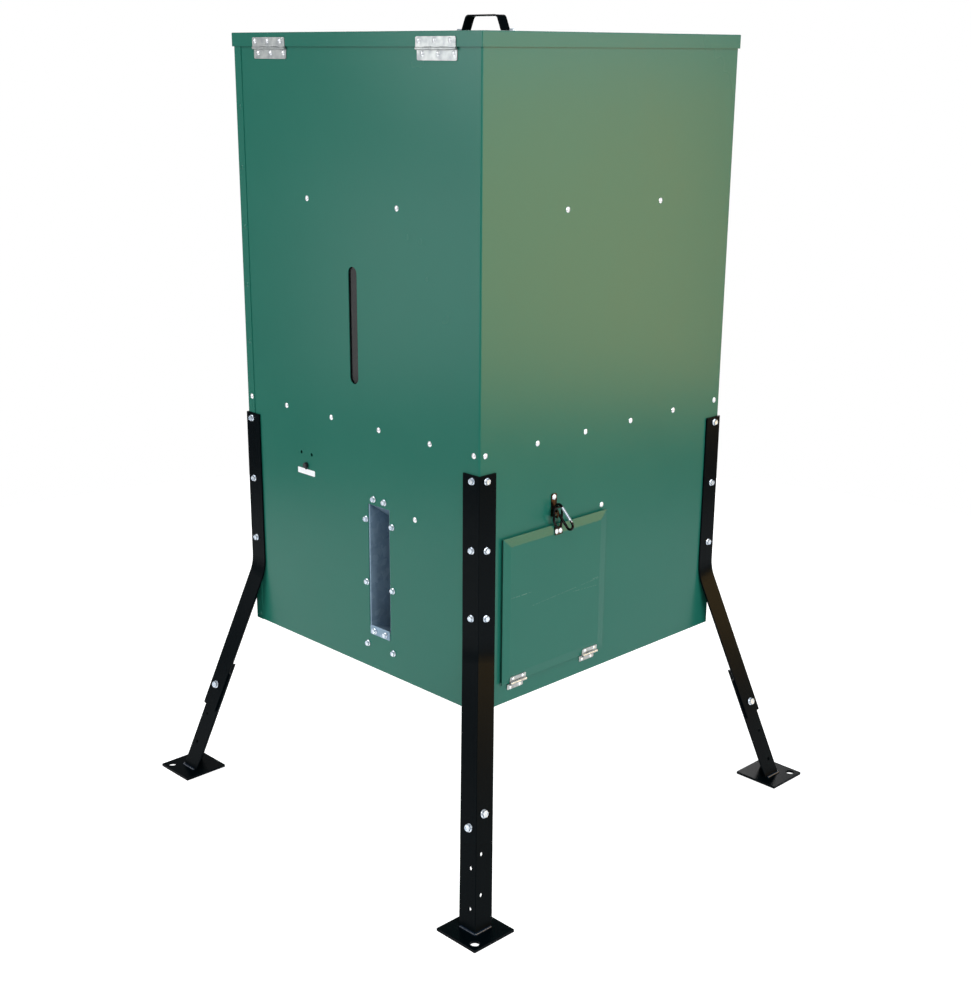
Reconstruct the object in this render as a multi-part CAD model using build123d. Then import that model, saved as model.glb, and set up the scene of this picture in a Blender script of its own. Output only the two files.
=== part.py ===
"""Directional game feeder: a square sheet-steel hopper on four bolted angle legs.

Millimetres, +Z up.  The origin is on the ground, at the centre of the four feet.
-Y is the front (chute, sight slot, lid hinges) and +X is the right side (access door).
"""
import os
from math import atan, cos, degrees, hypot, radians, sin, sqrt, tan

from build123d import *

# ---- driving sizes -------------------------------------------------------
BODY_W = 610.0            # outside width of the square body
BODY_BASE = 322.0         # ground to the body's lower edge
LID_TOP = 1391.0          # ground to the lid's upper face
SHEET = 1.2               # body, lid, funnel and chute sheet
BEND = 1.5                # inside radius of a folded sheet
SEAT = 0.1                # clearance between pieces that are fastened together
GAP = 0.3                 # clearance between pieces that move apart

LAP_W = 20.0              # seam flange folded round onto the next face
COLUMN_IN = 13.0          # seam rivets and leg bolts, in from the body's corner
SEAM_COUNT = 5            # seam rivets above the funnel row
SEAM_HEAD = 16.2          # where the next one would be, below the sheet's top
REACH = 8.0               # how far a cut runs past the wall, each way
SEAM_FOOT = 12.0          # lowest seam rivet above the body's lower edge

RIVET_R = 2.4
RIVET_HEAD_R = 4.75
RIVET_HEAD_H = 1.9
LEAF_HEAD_R = 4.35        # rivets of the hinge leaves and the door's eye
SMALL_RIVET_R = 1.6
SMALL_HEAD_R = 2.9
SMALL_HEAD_H = 1.3
HOLE_PLAY = 0.1           # hole radius less shank radius

FUNNEL_Z = 757.7          # funnel rivet row
FRONT_RIVETS = (63.0, 189.3)     # funnel rivets from the middle of the front and the back
SIDE_RIVETS = (57.9, 173.6)      # the same on the two sides
FLANGE_H = 24.0           # upright flange of a funnel sheet
BRACE_Z = 1125.9
BRACE_A = 0.187 * BODY_W  # brace rivets, from a face's middle
BRACE_TAB = 12.0          # half a brace's tab
BRACE_H = 25.0
BRACE_T = 3.0

LID_OVER = 3.0            # lid's overhang past the body
LID_LIP = 22.5
HANDLE_W = 20.0
HANDLE_T = 3.0
HANDLE_H = 31.0
HANDLE_BASE = 51.7        # half the distance between the legs' outer faces at the lid
HANDLE_NECK = 39.5        # the same at the grip
HANDLE_FOOT = 20.0
HANDLE_BEND = 6.5

SLOT_X = 1.6
SLOT_W = 22.0
SLOT_LOW = 826.6
SLOT_HIGH = 1023.3
WINDOW_MARGIN = 16.0
WINDOW_T = 3.0
TAPE_T = 1.5
TAPE_IN = 1.0             # tape back from the slot's edge

CHUTE_X = 60.7            # centre plane of the chute
CHUTE_W = 50.8            # clear width between its side plates
MOUTH_W = 55.8            # opening cut in the front face
MOUTH_SHIFT = -0.7        # its middle from the chute's
MOUTH_LOW = 400.0
MOUTH_HIGH = 623.2
FLOOR_RISE = 20.0         # throw angle of the chute floor, degrees
SCROLL_R = 84.0
SCROLL_BACK = 140.0       # impeller shaft behind the front
LIP_RISE = 2.4            # floor above the mouth's lower edge
TAB_H = 14.0
THROAT_D = 60.0           # throat opening along Y
THROAT_AHEAD = 16.0       # throat's front edge ahead of the shaft
THROAT_Z = 557.0          # funnel floor meets the throat
THROAT_H = 20.0
CHUTE_FLANGE = 16.3
CHUTE_BOLT_A = 34.0       # flange bolts, from the chute's centre plane
CHUTE_BOLT_Z = (364.9, 480.0, 594.5)
CHUTE_PAIR_A = 13.9       # the pair above the mouth and the pair in the tab
CHUTE_PAIR_Z = 633.6
PAIR_EDGE = 8.0           # sheet above that pair
CHUTE_END = 14.0          # side plate beyond its lowest bolt, and behind the scroll

IMPELLER_R = 78.0
IMPELLER_GAP = 3.0        # impeller to each side plate
BLADES = 6
SHAFT_R = 4.0
HUB_L = 30.0
DISC_T = 1.6
RUN_FIT = 0.05            # radial clearance of a shaft or pin
MOTOR_R = 19.0
MOTOR_L = 74.0
TAG_W = 4.8               # spade terminals
TAG_T = 0.8
TAG_L = 6.3
SCREW_R = 2.0
SCREW_HEAD_R = 3.6
SCREW_HEAD_H = 1.9

LEG_W = 38.1
LEG_T = 3.2
LEG_TOP = 727.0
LEG_BOLT_Z = (717.2, 602.2, 486.5)
BEND_Z = 432.0            # where the two straight runs of a leg would meet
BEND_R = 95.0
SPLAY = 0.263             # outward run in X, and in Y, for each unit of drop
UPPER_END = 310.0         # along the slope from the bend
LOWER_START = 224.0
ADJUST_FIRST = 261.0      # first adjusting hole along the slope
ADJUST_STAGGER = 23.0     # between one flange's holes and the other's
ADJUST_PITCH = 65.6
ADJUST_HOLES = 3
ADJUST_IN = 16.5          # hole centre from the angle's corner
FOOT_SIZE = 89.0
FOOT_T = 4.8
FOOT_IN = 17.8            # foot plate's centre inside the leg's corner at the ground
STAKE_OUT = 29.7          # stake hole from the foot plate's centre, in X and in Y
STAKE_R = 8.0

# bolts: shank radius, across flats, head with its flange, nut, flange radius
CHUTE_BOLT = (2.4, 8.0, 4.4, 4.0, 5.6)
LEG_BOLT = (3.1, 8.7, 4.8, 5.0, 5.9)
ADJUST_BOLT = (3.4, 11.1, 5.4, 6.0, 7.2)
FLANGE_EDGE = 0.16        # flange's rim, as a share of the head's height
HEAD_DISH = 0.14          # depth of the hollow in a head, as a share of its height
THREAD_OUT = 1.5          # bolt end past its nut

DOOR_BACK = 175.0         # door's middle behind the front
DOOR_W = 251.0
DOOR_H = 255.0
DOOR_LOW = 357.6
DOOR_PROUD = 8.0          # door face in front of the body's side
DOOR_T = 1.5
BAND_W = 15.5             # border that slopes back round the door
BAND_DROP = 2.0
DOORWAY_INSET = 21.0
GASKET_W = 13.0
GASKET_IN = 3.0

LID_HINGE_X = (-202.3, 209.5)
LID_HINGE_W = 88.0
LID_HINGE_T = 1.3
LID_HINGE_R = 2.2
LID_PIN_R = 1.1
LID_HINGE_LEAF = 17.2
LID_RIVET_UP = 11.6       # upper rivet row above the pin
LID_RIVET_DOWN = 7.3      # lower rivet row below it
LID_HINGE_PITCH = 34.3
LID_HINGE_SHIFT = 2.3     # upper rivets to the left of the hinge's middle, lower ones to the right
DOOR_HINGE_A = 89.5
DOOR_HINGE_W = 37.5
DOOR_HINGE_T = 1.2
DOOR_HINGE_R = 2.6
DOOR_HINGE_UP = 11.0
DOOR_HINGE_DOWN = 14.0
DOOR_HINGE_PITCH = 11.0   # rivets each side of the hinge's middle
DOOR_PIN_R = 1.4

BAR_R = 2.0               # wire of the door's hasp loop
LATCH_SHIFT = -3.0        # latch to the front of the door's middle
BAR_OUT = 10.8            # loop in front of the body's side
BAR_UP = 31.4             # loop's top bar above the door's edge
LOOP_A = 9.6              # half the loop's width
LOOP_FOOT = 4.6           # half its width where it leaves the foot
LOOP_ROUND = 6.0
EYE_SHIFT = 4.6           # foot's middle behind the loop's
EYE_W = 18.0
EYE_IN = 11.2             # eye's rivets below the door's upper edge
EYE_H = 13.4
EYE_RISE = 0.7            # foot's middle above its rivets
EYE_T = 1.6
EYE_RIVET_A = 4.6
STAPLE_UP = 15.3          # staple's rivet above the bar
STAPLE_W = 13.0
STAPLE_HEAD = 6.2         # plate above its rivet
EAR_H = 13.0              # staple's ear
EAR_PAST = 5.0            # its end in front of the loop
EAR_T = 2.0
EAR_HOLE_R = 3.6
HOOK_R = 2.2              # wire of the snap hook
HOOK_BOW = 7.2            # bow radius, to the wire's centre
HOOK_SPINE = 34.0
HOOK_LEAN = 46.0
GATE_R = 2.5
GATE_PIVOT_UP = 2.2       # gate pivot above the lower bow's centre
GATE_LOW = 3.3            # gate sleeve above its pivot
GATE_TONGUE = 0.8
GATE_PIN_R = 0.8
NOSE_L = 2.3

BRACKET_UP = 8.4          # strap's middle above the door's upper edge
BRACKET_H = 25.0
BRACKET_T = 2.0
BRACKET_ALONG = 152.6     # its front rivet, from the body's corner
BRACKET_BACK = 293.8      # its side rivet, from the same corner
TIMER_W = 100.0
TIMER_UP = 18.0
TIMER_DOWN = 52.0
TIMER_D = 34.0
TIMER_WALL = 2.0
COVER_T = 3.0
BUTTON_R = 5.0
BUTTON_PITCH = 20.0
BUTTON_DROP = 22.0
BUTTON_PROUD = 1.8
SCREEN_W = 44.0
SCREEN_H = 18.0

PAN_RISE = 16.0           # pan floor above the body's lower edge
BATTERY = (65.0, 151.0, 94.0)
BATTERY_IN = 69.0         # battery's middle in from the right side
BATTERY_ROUND = 3.0
BATTERY_STEP = 2.0
TRAY_PLAY = 0.5
TRAY_LIP = 14.0
SOCKET_ALONG = 168.7      # socket from the front's left edge
SOCKET_Z = 657.6
SOCKET_R = 4.0
SOCKET_FLANGE = 5.5
PANEL_HOLE_R = 3.0
PANEL_HOLE_SPAN = (-13.8, 15.4)
PANEL_HOLE_Z = 679.2

# ---- sizes worked out from them ------------------------------------------
HALF = BODY_W / 2
COLUMN = HALF - COLUMN_IN
INNER = HALF - SHEET
LINED = INNER - SEAT                       # where a piece lies against the inside
LAP_OUT = SHEET + SEAT                     # how far a seam flange lifts what is on it
SHELL_TOP = LID_TOP - SHEET - GAP
SEAM_PITCH = (SHELL_TOP - SEAM_HEAD - FUNNEL_Z) / (SEAM_COUNT + 1)
FUNNEL_TOP = FUNNEL_Z - FLANGE_H / 2
CORNER = HALF + SEAT + LEG_T
LEAN = atan(SPLAY * sqrt(2))
FOOT_C = CORNER + SPLAY * BEND_Z - FOOT_IN
STAKE_C = FOOT_C + STAKE_OUT
SCROLL_Y = -HALF + SCROLL_BACK
THROAT_FRONT = SCROLL_Y - THROAT_AHEAD
LIP_Z = MOUTH_LOW + LIP_RISE
FLOOR = radians(FLOOR_RISE)
SCROLL_Z = LIP_Z + SCROLL_R * cos(FLOOR) - (SCROLL_Y - SCROLL_R * sin(FLOOR) + HALF) * tan(FLOOR)
MOUTH_X = CHUTE_X + MOUTH_SHIFT
CHUTE_LEFT = CHUTE_X - CHUTE_W / 2
CHUTE_RIGHT = CHUTE_X + CHUTE_W / 2
TAB_BOLT_Z = MOUTH_LOW - TAB_H / 2
THROAT_BACK = THROAT_FRONT + THROAT_D
CHUTE_TOP = THROAT_Z - THROAT_H - 1.0
DOOR_Y = -HALF + DOOR_BACK
DOOR_TOP = DOOR_LOW + DOOR_H
EYE_Z = DOOR_TOP - EYE_IN
BAR_Z = DOOR_TOP + BAR_UP
STAPLE_Z = BAR_Z + STAPLE_UP
DOOR_FACE = HALF + DOOR_PROUD
DOOR_EDGE = DOOR_FACE - BAND_DROP
BAND_TILT = atan(BAND_DROP / BAND_W)
DOOR_PIN_X = DOOR_EDGE + (DOOR_HINGE_R + GAP) * cos(BAND_TILT)
DOOR_PIN_Z = DOOR_LOW - (DOOR_HINGE_R + GAP) * sin(BAND_TILT)
DOOR_RIVET_UP = 0.6 * DOOR_HINGE_UP
DOOR_RIVET_DOWN = DOOR_HINGE_DOWN - SMALL_HEAD_R - 0.4
LID_PIN_Y = -(HALF + LID_OVER + SEAT + LID_HINGE_T / 2)
LID_PIN_Z = LID_TOP - LID_LIP - GAP - LID_HINGE_R
BAR_X = HALF + BAR_OUT
LATCH_Y = DOOR_Y + LATCH_SHIFT
EYE_Y = LATCH_Y + EYE_SHIFT
PAN_TOP = BODY_BASE + PAN_RISE + SHEET
BRACKET_Z = DOOR_TOP + BRACKET_UP
BRACKET_FRONT = HALF - BRACKET_ALONG
BRACKET_SIDE = -HALF + BRACKET_BACK
BATTERY_X = HALF - BATTERY_IN
BATTERY_Y = SCROLL_Y
SOCKET_A = -HALF + SOCKET_ALONG
PANEL_HOLE_A = [SOCKET_A + a for a in PANEL_HOLE_SPAN]
LOW = (Align.CENTER, Align.CENTER, Align.MIN)


# ---- shared shapes -------------------------------------------------------
def block(x0, x1, y0, y1, z0, z1):
    """Box between two opposite corners."""
    return Pos((x0 + x1) / 2, (y0 + y1) / 2, (z0 + z1) / 2) * Box(x1 - x0, y1 - y0, z1 - z0)


def prism(plane, points, length):
    """Straight-sided outline on a plane, pulled along the plane's normal."""
    return extrude(plane * make_face(Polyline(*points, close=True)), amount=length)


def rod(start, direction, radius, length):
    """Round bar from a point along a direction."""
    return Plane(origin=start, z_dir=direction) * Cylinder(radius, length, align=LOW)


def six_sided(across, height):
    """Upright six-sided block, its top turned down to a circle."""
    prism_body = extrude(RegularPolygon(across / 2, 6, major_radius=False, rotation=30), amount=height)
    round_bar = Cylinder(across / sqrt(3), height, align=LOW)
    return prism_body & chamfer(round_bar.edges().sort_by(Axis.Z)[-1], 0.1 * across)


def nut_block(start, direction, across, height):
    """Hexagon nut without its hole."""
    return Plane(origin=start, z_dir=direction) * six_sided(across, height)


def flange_head(start, direction, across, height, flange):
    """Hexagon head on a round flange that slopes up to it, with a shallow hollow in its top."""
    rim = FLANGE_EDGE * height
    base = Cylinder(flange, rim, align=LOW)
    base += Pos(0, 0, rim) * Cone(flange, across / 2, 1.5 * rim, align=LOW)
    dish = Pos(0, 0, height * (1 - HEAD_DISH)) * Cylinder(0.36 * across, height, align=LOW)
    return Plane(origin=start, z_dir=direction) * (base + six_sided(across, height) - dish)


def bent_sheet(plane, path, thickness, width, bend=BEND):
    """Sheet folded along a path on a plane; its thickness lies to the path's left."""
    steps = [(b[0] - a[0], b[1] - a[1]) for a, b in zip(path, path[1:])]
    units = [(u / hypot(u, v), v / hypot(u, v)) for u, v in steps]
    normals = [(-v, u) for u, v in units]
    other = [(path[0][0] + thickness * normals[0][0], path[0][1] + thickness * normals[0][1])]
    near, far = [], []
    for point, m, n in zip(path[1:-1], normals, normals[1:]):
        share = thickness / (1 + m[0] * n[0] + m[1] * n[1])
        other.append((point[0] + share * (m[0] + n[0]), point[1] + share * (m[1] + n[1])))
        left_turn = m[0] * n[1] - m[1] * n[0] > 0
        near.append(bend + thickness if left_turn else bend)
        far.append(bend if left_turn else bend + thickness)
    last = normals[-1]
    other.append((path[-1][0] + thickness * last[0], path[-1][1] + thickness * last[1]))
    outline = FilletPolyline(*path, radius=near) + Line(path[-1], other[-1])
    outline += FilletPolyline(*other[::-1], radius=far[::-1]) + Line(other[0], path[0])
    return extrude(plane * make_face(outline.edges()), amount=width)


def turned(shape, quarter):
    """The same piece on another side: 0 front, 1 right, 2 back, 3 left."""
    return Rot(0, 0, 90 * quarter) * shape


def rivet(grip, radius, head_r, head_h, tail):
    """Blind rivet: domed head with its pin hole above z = 0, shank through the grip, set end below."""
    dome_r = (head_r ** 2 + head_h ** 2) / (2 * head_h)
    dome = Pos(0, 0, head_h - dome_r) * Sphere(dome_r)
    head = dome & block(-head_r, head_r, -head_r, head_r, 0, head_h)
    shank = Pos(0, 0, -grip) * Cylinder(radius, grip + head_h / 2, align=LOW)
    head -= Pos(0, 0, 0.6 * head_h) * Cylinder(0.25 * head_r, head_h, align=LOW)
    return head + shank + Pos(0, 0, -grip - tail) * Cylinder(radius * 1.35, tail, align=LOW)


def face_plane(across, z, out):
    """Plane on the front, its normal outward; `across` runs to the right seen from outside."""
    return Plane(origin=(across, -HALF - out, z), x_dir=(1, 0, 0), z_dir=(0, -1, 0))


def big_rivet(quarter, across, z, out, grip):
    """Body rivet on one side, its head `out` from the body's outside face."""
    shape = rivet(grip, RIVET_R, RIVET_HEAD_R, RIVET_HEAD_H, 4.0)
    return turned(face_plane(across, z, out + SEAT) * shape, quarter)


def drill(quarter, across, z, radius):
    """Cutter for a hole through everything fastened to one side of the body."""
    return turned(rod((across, -HALF - REACH, z), (0, 1, 0), radius, 2 * REACH), quarter)


def bolt_and_nut(start, direction, grip, sizes):
    """Flanged bolt with its head outside a joint of given grip, and the nut behind it."""
    radius, across, head, nut, flange = sizes
    axis = Vector(*direction).normalized()
    start = Vector(*start) - axis * SEAT
    reach = grip + 2 * SEAT
    bolt = flange_head(start, -axis, across, head, flange)
    bolt += rod(start - axis * head / 2, axis, radius, head / 2 + reach + nut + THREAD_OUT)
    ring = nut_block(start + axis * reach, axis, across, nut)
    ring -= rod(start + axis * reach, axis, radius + RUN_FIT, nut)
    return [bolt, ring]


def butt_hinge(width, knuckles, thickness, barrel, pin_r, up, down, seat, wall, tilt):
    """Two leaves and a pin about local X; -Y is outward, the upper leaf's back is at a seat, the lower's at a wall."""
    pitch = width / knuckles
    upper = block(-width / 2, width / 2, seat - thickness, seat, 0, up)
    upper = fillet(upper.edges().filter_by(Axis.Y).sort_by(Axis.Z)[-2:], 0.18 * up)
    crank = [(wall, -down), (wall, -0.04 * down - 0.5 * (wall - barrel)), (barrel, -0.04 * down), (barrel, 0)]
    side = Plane(origin=(-width / 2, 0, 0), x_dir=(0, 1, 0), z_dir=(1, 0, 0))
    lower = bent_sheet(side, crank, thickness, width, bend=0.4 * thickness)
    lower = fillet(lower.edges().filter_by(Axis.Y).sort_by(Axis.Z)[:2], 0.18 * down)
    for i in range(knuckles):
        x0 = -width / 2 + i * pitch
        knuckle = rod((x0 + GAP / 2, 0, 0), (1, 0, 0), barrel, pitch - GAP)
        relief = block(x0 - GAP / 2, x0 + pitch + GAP / 2, -barrel, barrel + GAP, -barrel - GAP, barrel + GAP)
        if i % 2:
            upper = upper - relief
            lower = lower + knuckle
        else:
            lower = lower - relief
            upper = upper + knuckle
    bore = rod((-width, 0, 0), (1, 0, 0), pin_r + RUN_FIT, 2 * width)
    pin = rod((-width / 2 - 1, 0, 0), (1, 0, 0), pin_r, width + 2)
    return Rot(degrees(tilt), 0, 0) * (upper - bore), lower - bore, pin


# ---- where the body is pierced -------------------------------------------
SIDES = range(4)
LAPPED = (0, 2)           # sides whose left edge carries the next shell's flange


def out_at(quarter, across):
    """Height of the surface that a fastener sits on."""
    return LAP_OUT if quarter in LAPPED and across < -HALF + LAP_W + 1 else 0.0


FUNNEL_ROWS = (FRONT_RIVETS, SIDE_RIVETS)
FUNNEL_SITES = [(k, s * a, FUNNEL_Z) for k in SIDES for a in (*FUNNEL_ROWS[k % 2], COLUMN) for s in (-1, 1)]
BRACE_SITES = [(k, s * BRACE_A, BRACE_Z) for k in SIDES for s in (-1, 1)]
BRACKET_SITES = [(0, BRACKET_FRONT, BRACKET_Z), (1, BRACKET_SIDE, BRACKET_Z)]
SEAM_Z = [BODY_BASE + SEAM_FOOT] + [FUNNEL_Z + (i + 1) * SEAM_PITCH for i in range(SEAM_COUNT)]
SEAM_SITES = [(k, -COLUMN, z) for k in LAPPED for z in SEAM_Z]
STAPLE_SITE = (1, LATCH_Y, STAPLE_Z)
LID_LEAF_SITES = [(0, a + i * LID_HINGE_PITCH + LID_HINGE_SHIFT, LID_PIN_Z - LID_RIVET_DOWN)
                  for a in LID_HINGE_X for i in (-1, 0, 1)]
DOOR_LEAF_SITES = [(1, DOOR_Y + s * DOOR_HINGE_A + i * DOOR_HINGE_PITCH, DOOR_PIN_Z - DOOR_RIVET_DOWN)
                   for s in (-1, 1) for i in (-1, 1)]
LEG_SITES = [(k, s * COLUMN, z) for k in SIDES for s in (-1, 1) for z in LEG_BOLT_Z]
CHUTE_SITES = [(CHUTE_X + s * CHUTE_BOLT_A, z) for s in (-1, 1) for z in CHUTE_BOLT_Z]
CHUTE_SITES += [(CHUTE_X + s * CHUTE_PAIR_A, CHUTE_PAIR_Z) for s in (-1, 1)]
TAB_SITES = [(CHUTE_X + s * CHUTE_PAIR_A, TAB_BOLT_Z) for s in (-1, 1)]

RIVET_HOLES = [drill(*site, RIVET_R + HOLE_PLAY) for site in
               FUNNEL_SITES + BRACE_SITES + BRACKET_SITES + SEAM_SITES + LID_LEAF_SITES + [STAPLE_SITE]]
RIVET_HOLES += [drill(*site, SMALL_RIVET_R + HOLE_PLAY) for site in DOOR_LEAF_SITES]
LEG_HOLES = [drill(*site, LEG_BOLT[0] + HOLE_PLAY) for site in LEG_SITES]
CHUTE_HOLES = [drill(0, *site, CHUTE_BOLT[0] + HOLE_PLAY) for site in CHUTE_SITES + TAB_SITES]
PANEL_HOLES = [drill(0, a, PANEL_HOLE_Z, PANEL_HOLE_R) for a in PANEL_HOLE_A]
PANEL_HOLES.append(drill(0, SOCKET_A, SOCKET_Z, SOCKET_R + HOLE_PLAY))


# ---- body ----------------------------------------------------------------
def shell():
    """Front and right walls in one folded sheet, with a lap flange round the far edge."""
    path = [(-HALF + LAP_OUT + BEND, -HALF), (HALF, -HALF), (HALF, HALF + LAP_OUT), (HALF - LAP_W, HALF + LAP_OUT)]
    sheet = bent_sheet(Plane.XY.offset(BODY_BASE), path, SHEET, SHELL_TOP - BODY_BASE)
    relief_low = BEND_Z - BEND_R * tan(LEAN / 2) - LEG_T
    relief_high = LEG_TOP + 3 * GAP
    return sheet - block(HALF - LAP_W - GAP, HALF + GAP, HALF, HALF + 2 * LAP_OUT, relief_low, relief_high)


def slot_cutter(margin, y0, y1):
    """Round-ended upright slot, grown by a margin."""
    radius = SLOT_W / 2 + margin
    low, high = SLOT_LOW + SLOT_W / 2, SLOT_HIGH - SLOT_W / 2
    cutter = block(SLOT_X - radius, SLOT_X + radius, y0, y1, low, high)
    for z in (low, high):
        cutter += rod((SLOT_X, y0, z), (0, 1, 0), radius, y1 - y0)
    return cutter


def front_shell():
    """Shell with the sight slot, chute mouth, socket holes and doorway."""
    y0, y1 = -HALF - REACH, -HALF + REACH
    mouth = block(MOUTH_X - MOUTH_W / 2, MOUTH_X + MOUTH_W / 2, y0, y1, MOUTH_LOW, MOUTH_HIGH)
    side = DOOR_W / 2 - DOORWAY_INSET
    doorway = block(HALF - REACH, HALF + REACH, DOOR_Y - side, DOOR_Y + side,
                    DOOR_LOW + DOORWAY_INSET, DOOR_TOP - DOORWAY_INSET)
    cuts = [slot_cutter(0, y0, y1), mouth, doorway]
    return shell() - cuts - RIVET_HOLES - LEG_HOLES - CHUTE_HOLES - PANEL_HOLES


def rear_shell():
    """The same folded sheet turned half round: back and left walls."""
    return turned(shell(), 2) - RIVET_HOLES - LEG_HOLES


def inside(low, high):
    """The room inside the walls between two heights, its corners rounded like theirs."""
    room = block(-LINED, LINED, -LINED, LINED, low, high)
    return fillet(room.edges().filter_by(Axis.Z), BEND)


def base_pan():
    """Floor of the machinery compartment, its flanges turned down inside the walls."""
    floor = PAN_TOP - SHEET
    low = BODY_BASE + SHEET
    inner = block(-LINED + SHEET, LINED - SHEET, -LINED + SHEET, LINED - SHEET, low - REACH, floor)
    return inside(low, PAN_TOP) - inner - RIVET_HOLES


def throat_corners():
    """Throat opening, corner by corner, from the front left one."""
    return [(CHUTE_LEFT, THROAT_FRONT), (CHUTE_RIGHT, THROAT_FRONT),
            (CHUTE_RIGHT, THROAT_BACK), (CHUTE_LEFT, THROAT_BACK)]


def funnel_sheet(k):
    """One sloping funnel side with a riveted flange above and a throat flange below."""
    walls = [(-LINED, -LINED), (LINED, -LINED), (LINED, LINED), (-LINED, LINED)]
    throats = throat_corners()
    a, b = walls[k], walls[(k + 1) % 4]
    c, d = throats[(k + 1) % 4], throats[k]
    face = make_face(Polyline((*a, FUNNEL_TOP), (*b, FUNNEL_TOP), (*c, THROAT_Z), (*d, THROAT_Z), close=True))
    normal = face.faces()[0].normal_at()
    down = normal if normal.Z < 0 else -normal
    slope = extrude(face, amount=SHEET, dir=down) & inside(0, FUNNEL_TOP)
    ends = LINED - 2 * SHEET
    flange = block(-ends, ends, -LINED, -LINED + SHEET, FUNNEL_TOP - SHEET, FUNNEL_TOP + FLANGE_H)
    x0, x1 = sorted((c[0], d[0]))
    y0, y1 = sorted((c[1], d[1]))
    grow = [(0, 0, -SHEET, 0), (0, SHEET, 0, 0), (0, 0, 0, SHEET), (-SHEET, 0, 0, 0)][k]
    lip = block(x0 + grow[0], x1 + grow[1], y0 + grow[2], y1 + grow[3], THROAT_Z - THROAT_H, THROAT_Z)
    return slope + turned(flange, k) + lip - RIVET_HOLES


def corner_braces():
    """Flat straps across the hopper's four corners, each riveted to two walls."""
    knee, start = BRACE_A + BRACE_TAB, BRACE_A - BRACE_TAB
    path = [(start, -LINED), (knee, -LINED), (LINED, -knee), (LINED, -start)]
    strap = bent_sheet(Plane.XY.offset(BRACE_Z - BRACE_H / 2), path, BRACE_T, BRACE_H)
    return [turned(strap, k) - RIVET_HOLES for k in SIDES]


def sight_window():
    """Clear strip behind the sight slot and the foam tape that seals it."""
    y0 = -INNER + SEAT
    tape = slot_cutter(WINDOW_MARGIN, y0, y0 + TAPE_T) - slot_cutter(TAPE_IN, y0 - TAPE_T, y0 + 2 * TAPE_T)
    window = slot_cutter(WINDOW_MARGIN, y0 + TAPE_T + SEAT, y0 + TAPE_T + SEAT + WINDOW_T)
    return window, tape


def body_rivets():
    """Bright rivets of the body: funnel, braces, control bracket, staple and lower lid leaves."""
    joint = 2 * SHEET + 3 * SEAT
    rivets = [big_rivet(k, a, z, out_at(k, a), joint + out_at(k, a)) for k, a, z in FUNNEL_SITES]
    rivets += [big_rivet(k, a, z, 0, SHEET + BRACE_T + 3 * SEAT) for k, a, z in BRACE_SITES]
    rivets += [big_rivet(k, a, z, 0, SHEET + BRACKET_T + 3 * SEAT) for k, a, z in BRACKET_SITES]
    rivets += [big_rivet(*STAPLE_SITE, SEAT + EYE_T, SHEET + EYE_T + 3 * SEAT)]
    leaf = rivet(SHEET + LID_HINGE_T + 3 * SEAT, RIVET_R, LEAF_HEAD_R, RIVET_HEAD_H, 4.0)
    out = LID_HINGE_T + 2 * SEAT
    return rivets + [turned(face_plane(a, z, out) * leaf, k) for k, a, z in LID_LEAF_SITES]


def seam_rivets():
    """Painted rivets down the two lapped corners; the lowest also holds the pan's flange."""
    layers = [3 if z < PAN_TOP else 2 for _, _, z in SEAM_SITES]
    return [big_rivet(*site, LAP_OUT, n * SHEET + (n + 1) * SEAT) for site, n in zip(SEAM_SITES, layers)]


# ---- chute and thrower ---------------------------------------------------
SIDE_VIEW = Plane.YZ


def chute_plate(side):
    """Galvanised side plate, -1 left or 1 right, with a flange bolted behind the front."""
    low = CHUTE_BOLT_Z[0] - CHUTE_END
    rear = SCROLL_Y + SCROLL_R + CHUTE_END
    round_r = 0.36 * SCROLL_R
    outline = [(-LINED, low), (rear - 1.5 * round_r, low), (rear, SCROLL_Z - 0.6 * SCROLL_R),
               (rear, SCROLL_Z + 0.24 * SCROLL_R), (THROAT_BACK + CHUTE_END, CHUTE_TOP),
               (THROAT_FRONT - 4 * SHEET, CHUTE_TOP), (-LINED, CHUTE_PAIR_Z + PAIR_EDGE)]
    rounds = [SHEET, round_r / 2, round_r, round_r, 5 * SHEET, 5 * SHEET, 2 * SHEET]
    web = SIDE_VIEW * make_face(FilletPolyline(*outline, radius=rounds, close=True).edges())
    inner = CHUTE_X + side * CHUTE_W / 2
    outer = inner + side * SHEET
    plate = Pos(min(inner, outer), 0, 0) * extrude(web, amount=SHEET)
    x0, x1 = sorted((inner, outer + side * (CHUTE_FLANGE - SHEET)))
    plate += block(x0, x1, -LINED, -LINED + SHEET, low + 2 * SHEET, CHUTE_PAIR_Z + SHEET)
    if side < 0:
        plate -= rod((inner - REACH, SCROLL_Y, SCROLL_Z), (1, 0, 0), 1.5 * SHAFT_R, 2 * REACH)
        plate -= motor_screw_holes()
    return plate - CHUTE_HOLES


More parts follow.
